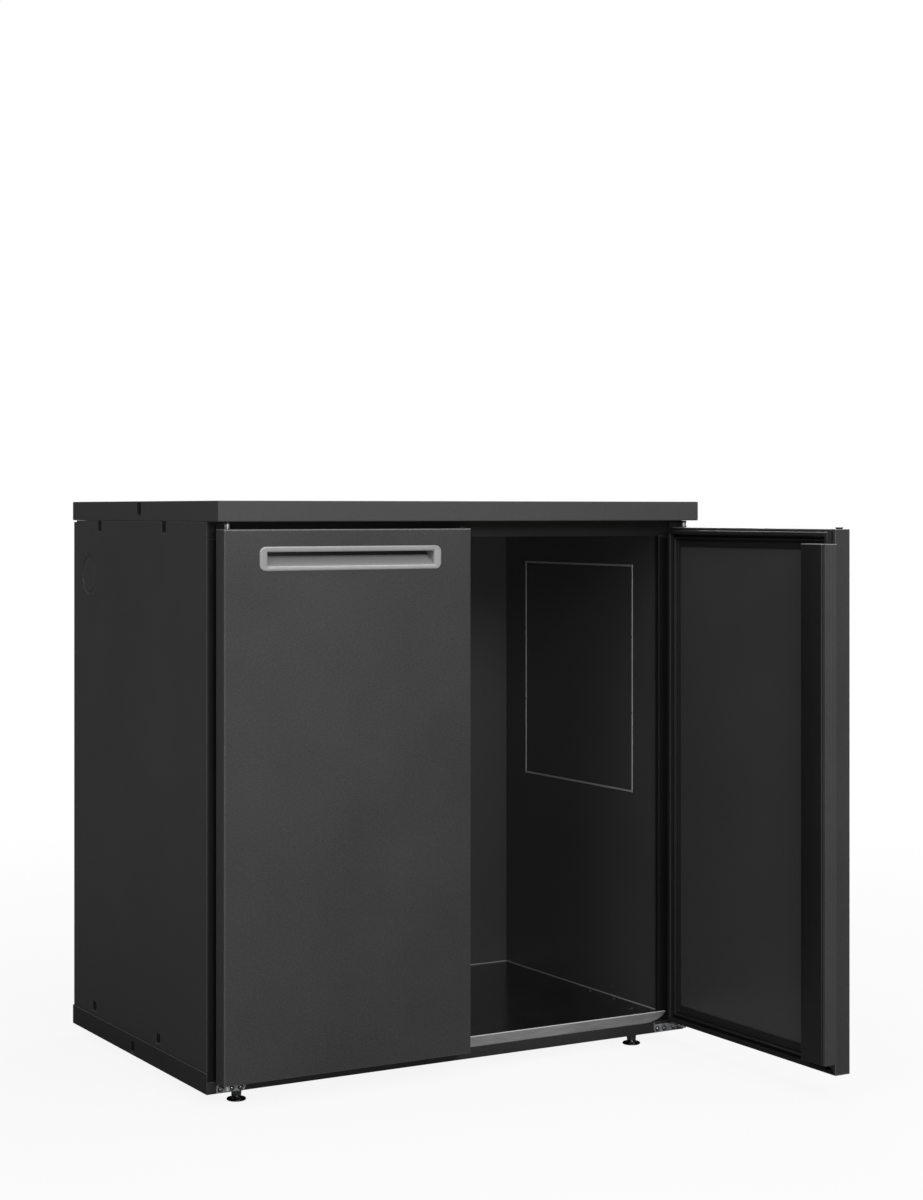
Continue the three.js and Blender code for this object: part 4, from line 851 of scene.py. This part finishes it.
def fan_guard(centre):
    """Round wires about the fan's axis, six spokes across them, and three lugs for its screws."""
    wire, reach, lug_half, radii = 1.0, 79.5, 5, (20, 32, 44, 56, 68, 79)
    shapes = [ring_of_wire(centre, radius, wire) for radius in radii]
    spoke = tube([[0, y, 0] for y in (-reach, -40, 0, 40, reach)], wire, 8)
    lug = slab("x", (reach - 1.5, reach + 8.5), (-lug_half, lug_half), (-1.1, 0.2), lug_half - 1, 0.3)
    for shape, angles in ((spoke, range(0, 180, 30)), (lug, GUARD_LUGS)):
        for angle in angles:
            points, faces = rotated(shape, "x", angle)
            shapes.append((points + centre, faces))
    return joined(shapes)


def fan_blades(centre):
    """Hub with a domed cap and five blades. A blade's section is a thin arched foil, whose chord c runs from
    0 to 1: at radius r it lies over the angle u cos(pitch) / r and rises by u sin(pitch) plus
    arch (1 - (2c - 1)^2), where u is its place along the chord. Over the share s of the way out, the pitch
    falls from 36 to 20 degrees and the chord is 25 + 12 s - 9 s^6 long, which rounds its tip."""
    blades, root, tip, arch, sheet = 5, 20, 69, 2.2, 1.5
    middle, lowest, highest = 5, 0.2, 13
    chord = np.linspace(0, 1, 15)
    share = np.linspace(0, 1, 12)[:, None]
    thick = sheet * np.sqrt(np.clip(4 * chord * (1 - chord), 0, 1)) + 0.1
    radius = root + (tip - root) * share
    pitch = np.radians(36 - 16 * share)
    u = (chord - 0.5) * (25 + 12 * share - 9 * share**6)
    shapes = [turned(FAN_HUB, centre, "x", 48)]
    for blade in range(blades):
        sides = []
        for sign in (1, -1):
            rise = arch * (1 - (2 * chord - 1) ** 2) + sign * thick / 2
            lift = np.clip(middle + u * np.sin(pitch) + rise * np.cos(pitch), lowest, highest)
            angle = (u * np.cos(pitch) - rise * np.sin(pitch)) / radius - np.pi / 2
            angle -= (blade + 0.2) * 2 * np.pi / blades
            sides.append(np.stack([lift, -radius * np.cos(angle), -radius * np.sin(angle)], axis=-1))
        rings = np.concatenate([sides[0], sides[1][:, ::-1]], axis=1)
        shapes.append(loft(rings + centre))
    return joined(shapes)


def coil_shape():
    """Thin fins side by side, and hairpin tubes through them that turn back in half ovals at the front."""
    (x0, _, z0), (x1, y1, z1) = limits("evaporator_coil")
    first_fin, fins, sheet = 178, 72, 0.6
    shapes = []
    for y in first_fin + (y1 - first_fin) / fins * np.arange(fins):
        shapes.append(nested("y", [(x0, x1, z0, z1, 1, y), (x0, x1, z0, z1, 1, y + sheet)], steps=2))
    middle, leg, bulge, spacing, radius = (x0 + x1) / 2, 16, 10, 80, 4.2
    half = np.linspace(0, np.pi, 13)
    for z in np.arange(z0 + 70, z1 - 40, spacing):
        arc = np.stack([first_fin - bulge * np.sin(half), z + leg * np.cos(half)], axis=-1)
        ends = np.array([[middle, y1 - 1, z + leg], [middle, (first_fin + y1) / 2, z + leg]])
        path = np.concatenate([ends, across(arc, "x", middle), (ends - [0, 0, 2 * leg])[::-1]])
        shapes.append(tube(path, radius, 10))
    return joined(shapes)


def make_fans():
    """The guard, the rotor and the guard's screws of each fan."""
    screw_circle = 84
    for end in ("front", "rear"):
        low, high = limits(f"fan_guard_{end}")
        middle = (low + high) / 2
        make(f"fan_guard_wires_{end}", fan_guard(middle), "zinc_plate", [f"fan_guard_{end}"],
             material=SCREW_STEEL)
        hub = [limits(f"fan_blades_{end}")[0][0], *middle[1:]]
        make(f"fan_rotor_{end}", fan_blades(hub), "black_plastic", [f"fan_blades_{end}"],
             f"{end}_fan_rotor", sharp=50)
        screws = []
        for turn in np.radians(GUARD_LUGS):
            off = screw_circle * np.array([np.cos(turn), np.sin(turn)])
            screws.append(screw_head([COVER_HIGH[0], *(middle[1:] + off)], "x", *GUARD_SCREW))
        make(f"fan_guard_screws_{end}", joined(screws), "zinc_plate", material=SCREW_STEEL)


def make_coil():
    """The finned coil, and the screws of the cover over it."""
    make("evaporator_fins", coil_shape(), "aluminium_fins", ["evaporator_coil"], sharp=30)
    along = (COVER_LOW[1] + 14, (COVER_LOW[1] + COVER_HIGH[1]) / 2, COVER_HIGH[1] - 14)
    heights = (COVER_LOW[2] + 14, COVER_HIGH[2] - 10)
    screws = [screw_head([COVER_HIGH[0], y, z], "x", *COVER_SCREW) for y in along for z in heights]
    make("cover_screws", joined(screws), "zinc_plate", material=SCREW_STEEL)


def make_thermostat():
    """The thermostat's ribbed knob with its pointer, and a scale of eleven marks over its 270 degrees."""
    ribs, rib_depth, pointer_half, mark_half, turn, marks = 18, 0.06, 1.2, 0.5, 135, 11
    back = limits("thermostat_knob")[1][1]
    x, _, z = line_through("thermostat_knob", "y")
    knob = turned(KNOB, [x, back, z], "y", 6 * ribs, ribs, rib_depth)
    pointer = slab("y", (x - pointer_half, x + pointer_half), (z + 2, z + 15.2), (back - 15.1, back - 13),
                   1, 0.3)
    make("thermostat_grip", joined([knob, pointer]), "knob_plastic", ["thermostat_knob"], "thermostat_dial")
    face = limits("thermostat_housing")[0][1]
    mark = slab("y", (x - mark_half, x + mark_half), (z + 19.5, z + 23.5), (face - 0.25, face + 0.3),
                0.4, 0.1)
    scale = [rotated(mark, "y", angle, [x, 0, z]) for angle in np.linspace(-turn, turn, marks)]
    make("thermostat_scale", joined(scale), "knob_plastic")


# Connections and screws at the back

# Places of the rear panel's screws along its sides and between them
SIDE_SCREWS_X, SIDE_SCREWS_Z = (-517, 517), (76, 320, 565, 810, 1044)
END_SCREWS_X, END_SCREWS_Z = (-170, 170), (76, 1044)


def make_pipes():
    """Pipes with flare nuts, each a hexagon about a tube that is open at its end."""
    for name, wall in (("suction", 1.1), ("liquid", 0.8)):
        low, high = limits(f"{name}_pipe")
        centre, start, end = line_through(f"{name}_pipe", "y"), low[1], high[1]
        nut = (high[0] - low[0]) / 2
        radius = nut - 4
        pipe = turned([(radius, start), (radius, end - 0.4), (radius - 0.3, end), (radius - wall, end),
                       (radius - wall, end - 12)], centre, "y", 32)
        flare = turned([(nut - 2, end - 13), (nut, end - 11.8), (nut, end - 4), (nut - 1.4, end - 2.6),
                        (radius + 0.4, end - 2)], centre, "y", 6)
        make(f"{name}_line", joined([pipe, flare]), "copper_tube", [f"{name}_pipe"], sharp=30)


def make_gland():
    """Cable gland: a hexagon on a thread, and a ribbed cap that narrows to the cable's hole."""
    low, high = limits("cable_gland")
    centre, start, end = line_through("cable_gland", "y"), low[1], high[1]
    seat = end - 18
    nut = turned([(7.9, start), (7.9, seat + 0.3), (11, seat + 0.3), (12, seat + 1), (12, seat + 7.4),
                  (11, seat + 8)], centre, "y", 6)
    cap = turned([(9.4, seat + 7.6), (9.6, seat + 9), (9.2, seat + 13), (7.4, seat + 16.8), (5, end),
                  (4.1, end), (4, seat + 6)], centre, "y", 72, 12, 0.07)
    make("cable_gland_body", joined([nut, cap]), "black_plastic", ["cable_gland"], sharp=30)


def make_rear_screws():
    """Screws along the rear panel's sides, top and bottom."""
    plane = limits("rear_panel")[1][1]
    places = [(x, z) for x in SIDE_SCREWS_X for z in SIDE_SCREWS_Z]
    places += [(x, z) for x in END_SCREWS_X for z in END_SCREWS_Z]
    screws = [screw_head([x, plane, z], "y", *PANEL_SCREW) for x, z in places]
    make("rear_panel_screws", joined(screws), "zinc_plate", material=SCREW_STEEL)


# Stage, light and camera


def white_strength(tree, unseen, sheen):
    """How bright white is for each ray: 1 for the camera's and for refracted ones, the sheen for mirrored
    ones, and another value for those that light a surface."""
    path = add(tree, "ShaderNodeLightPath")
    plain = add(tree, "ShaderNodeMath", {
        0: path.outputs["Is Camera Ray"], 1: path.outputs["Is Transmission Ray"]}, operation="MAXIMUM")
    mirrored_part = add(tree, "ShaderNodeMapRange", {
        "Value": path.outputs["Is Glossy Ray"], "To Min": unseen, "To Max": sheen})
    return add(tree, "ShaderNodeMath", {0: plain.outputs[0], 1: mirrored_part.outputs[0]},
               operation="MAXIMUM").outputs[0]


def set_world():
    """A white room that lights surfaces only by its fill."""
    world = bpy.data.worlds.new("white_room")
    scene.world = world
    tree = empty_tree(world)
    strength = white_strength(tree, ROOM_FILL, ROOM_SHEEN)
    room = add(tree, "ShaderNodeBackground", {"Color": linear("#ffffff"), "Strength": strength})
    add(tree, "ShaderNodeOutputWorld", {"Surface": room.outputs[0]})


def set_floor():
    """A pale floor whose paint stays white to the eye but still takes the object's shadow."""
    mesh = bpy.data.meshes.new("floor")
    corners = np.array([[-1, -1, 0], [1, -1, 0], [1, 1, 0], [-1, 1, 0]]) * FLOOR_HALF
    mesh.from_pydata(corners.tolist(), [], [[0, 1, 2, 3]])
    material = bpy.data.materials.new("painted_studio_floor")
    tree = empty_tree(material)
    place = add(tree, "ShaderNodeTexCoord").outputs["Object"]
    away = add(tree, "ShaderNodeVectorMath", {0: place}, operation="LENGTH").outputs["Value"]
    reach = {"Value": away, "From Min": GLOW_REACH[0], "From Max": GLOW_REACH[1]}
    share, sheen = (
        add(tree, "ShaderNodeMapRange", {**reach, "To Min": near, "To Max": far}).outputs[0]
        for near, far in (FLOOR_GLOW, FLOOR_SHEEN))
    strength = white_strength(tree, 0.0, sheen)
    seen = add(tree, "ShaderNodeMath", {0: strength, 1: SEEN_ABOVE}, operation="GREATER_THAN")
    glow = add(tree, "ShaderNodeMath", {0: seen.outputs[0], 1: share}, operation="MULTIPLY")
    paint = add(tree, "ShaderNodeBsdfDiffuse", {"Color": linear(FLOOR_PAINT)})
    white = add(tree, "ShaderNodeEmission", {"Color": linear("#ffffff"), "Strength": strength})
    both = add(tree, "ShaderNodeMixShader", {0: glow.outputs[0], 1: paint.outputs[0], 2: white.outputs[0]})
    add(tree, "ShaderNodeOutputMaterial", {"Surface": both.outputs[0]})
    mesh.materials.append(material)
    floor = bpy.data.objects.new("studio_floor", mesh)
    scene.collection.objects.link(floor)


def set_lamps():
    """Soft rectangular lamps, each aimed at a point."""
    for lamp in LAMPS:
        data = bpy.data.lights.new(lamp["name"], "AREA")
        data.shape = "RECTANGLE"
        data.size, data.size_y = lamp["size"]
        data.energy = lamp["watts"]
        light = bpy.data.objects.new(lamp["name"], data)
        light.visible_camera = False
        light.location = lamp["at"]
        light.rotation_euler = (Vector(lamp["aim"]) - Vector(lamp["at"])).to_track_quat("-Z", "Y").to_euler()
        scene.collection.objects.link(light)


def set_camera():
    """The photograph's view: level, and shifted so that the horizon lies above the middle of the frame."""
    data = bpy.data.cameras.new("camera")
    data.sensor_width = SENSOR
    data.lens = FOCAL_PX / PHOTO_HIGH * SENSOR
    data.shift_y = (HORIZON_PX - PHOTO_HIGH / 2) / PHOTO_HIGH
    camera = bpy.data.objects.new("camera", data)
    camera.location = CAMERA_AT
    camera.rotation_euler = (np.pi / 2, 0, np.radians(CAMERA_TURN))
    scene.collection.objects.link(camera)
    scene.camera = camera


set_camera()
scene.view_settings.view_transform = "Standard"
dress_frame()
make_feet()
make_hinges()
make_plinth()
make_doors()
make_lock_plugs()
make_ports()
make_floor_pan()
make_fans()
make_coil()
make_thermostat()
make_pipes()
make_gland()
make_rear_screws()
set_world()
set_floor()
set_lamps()
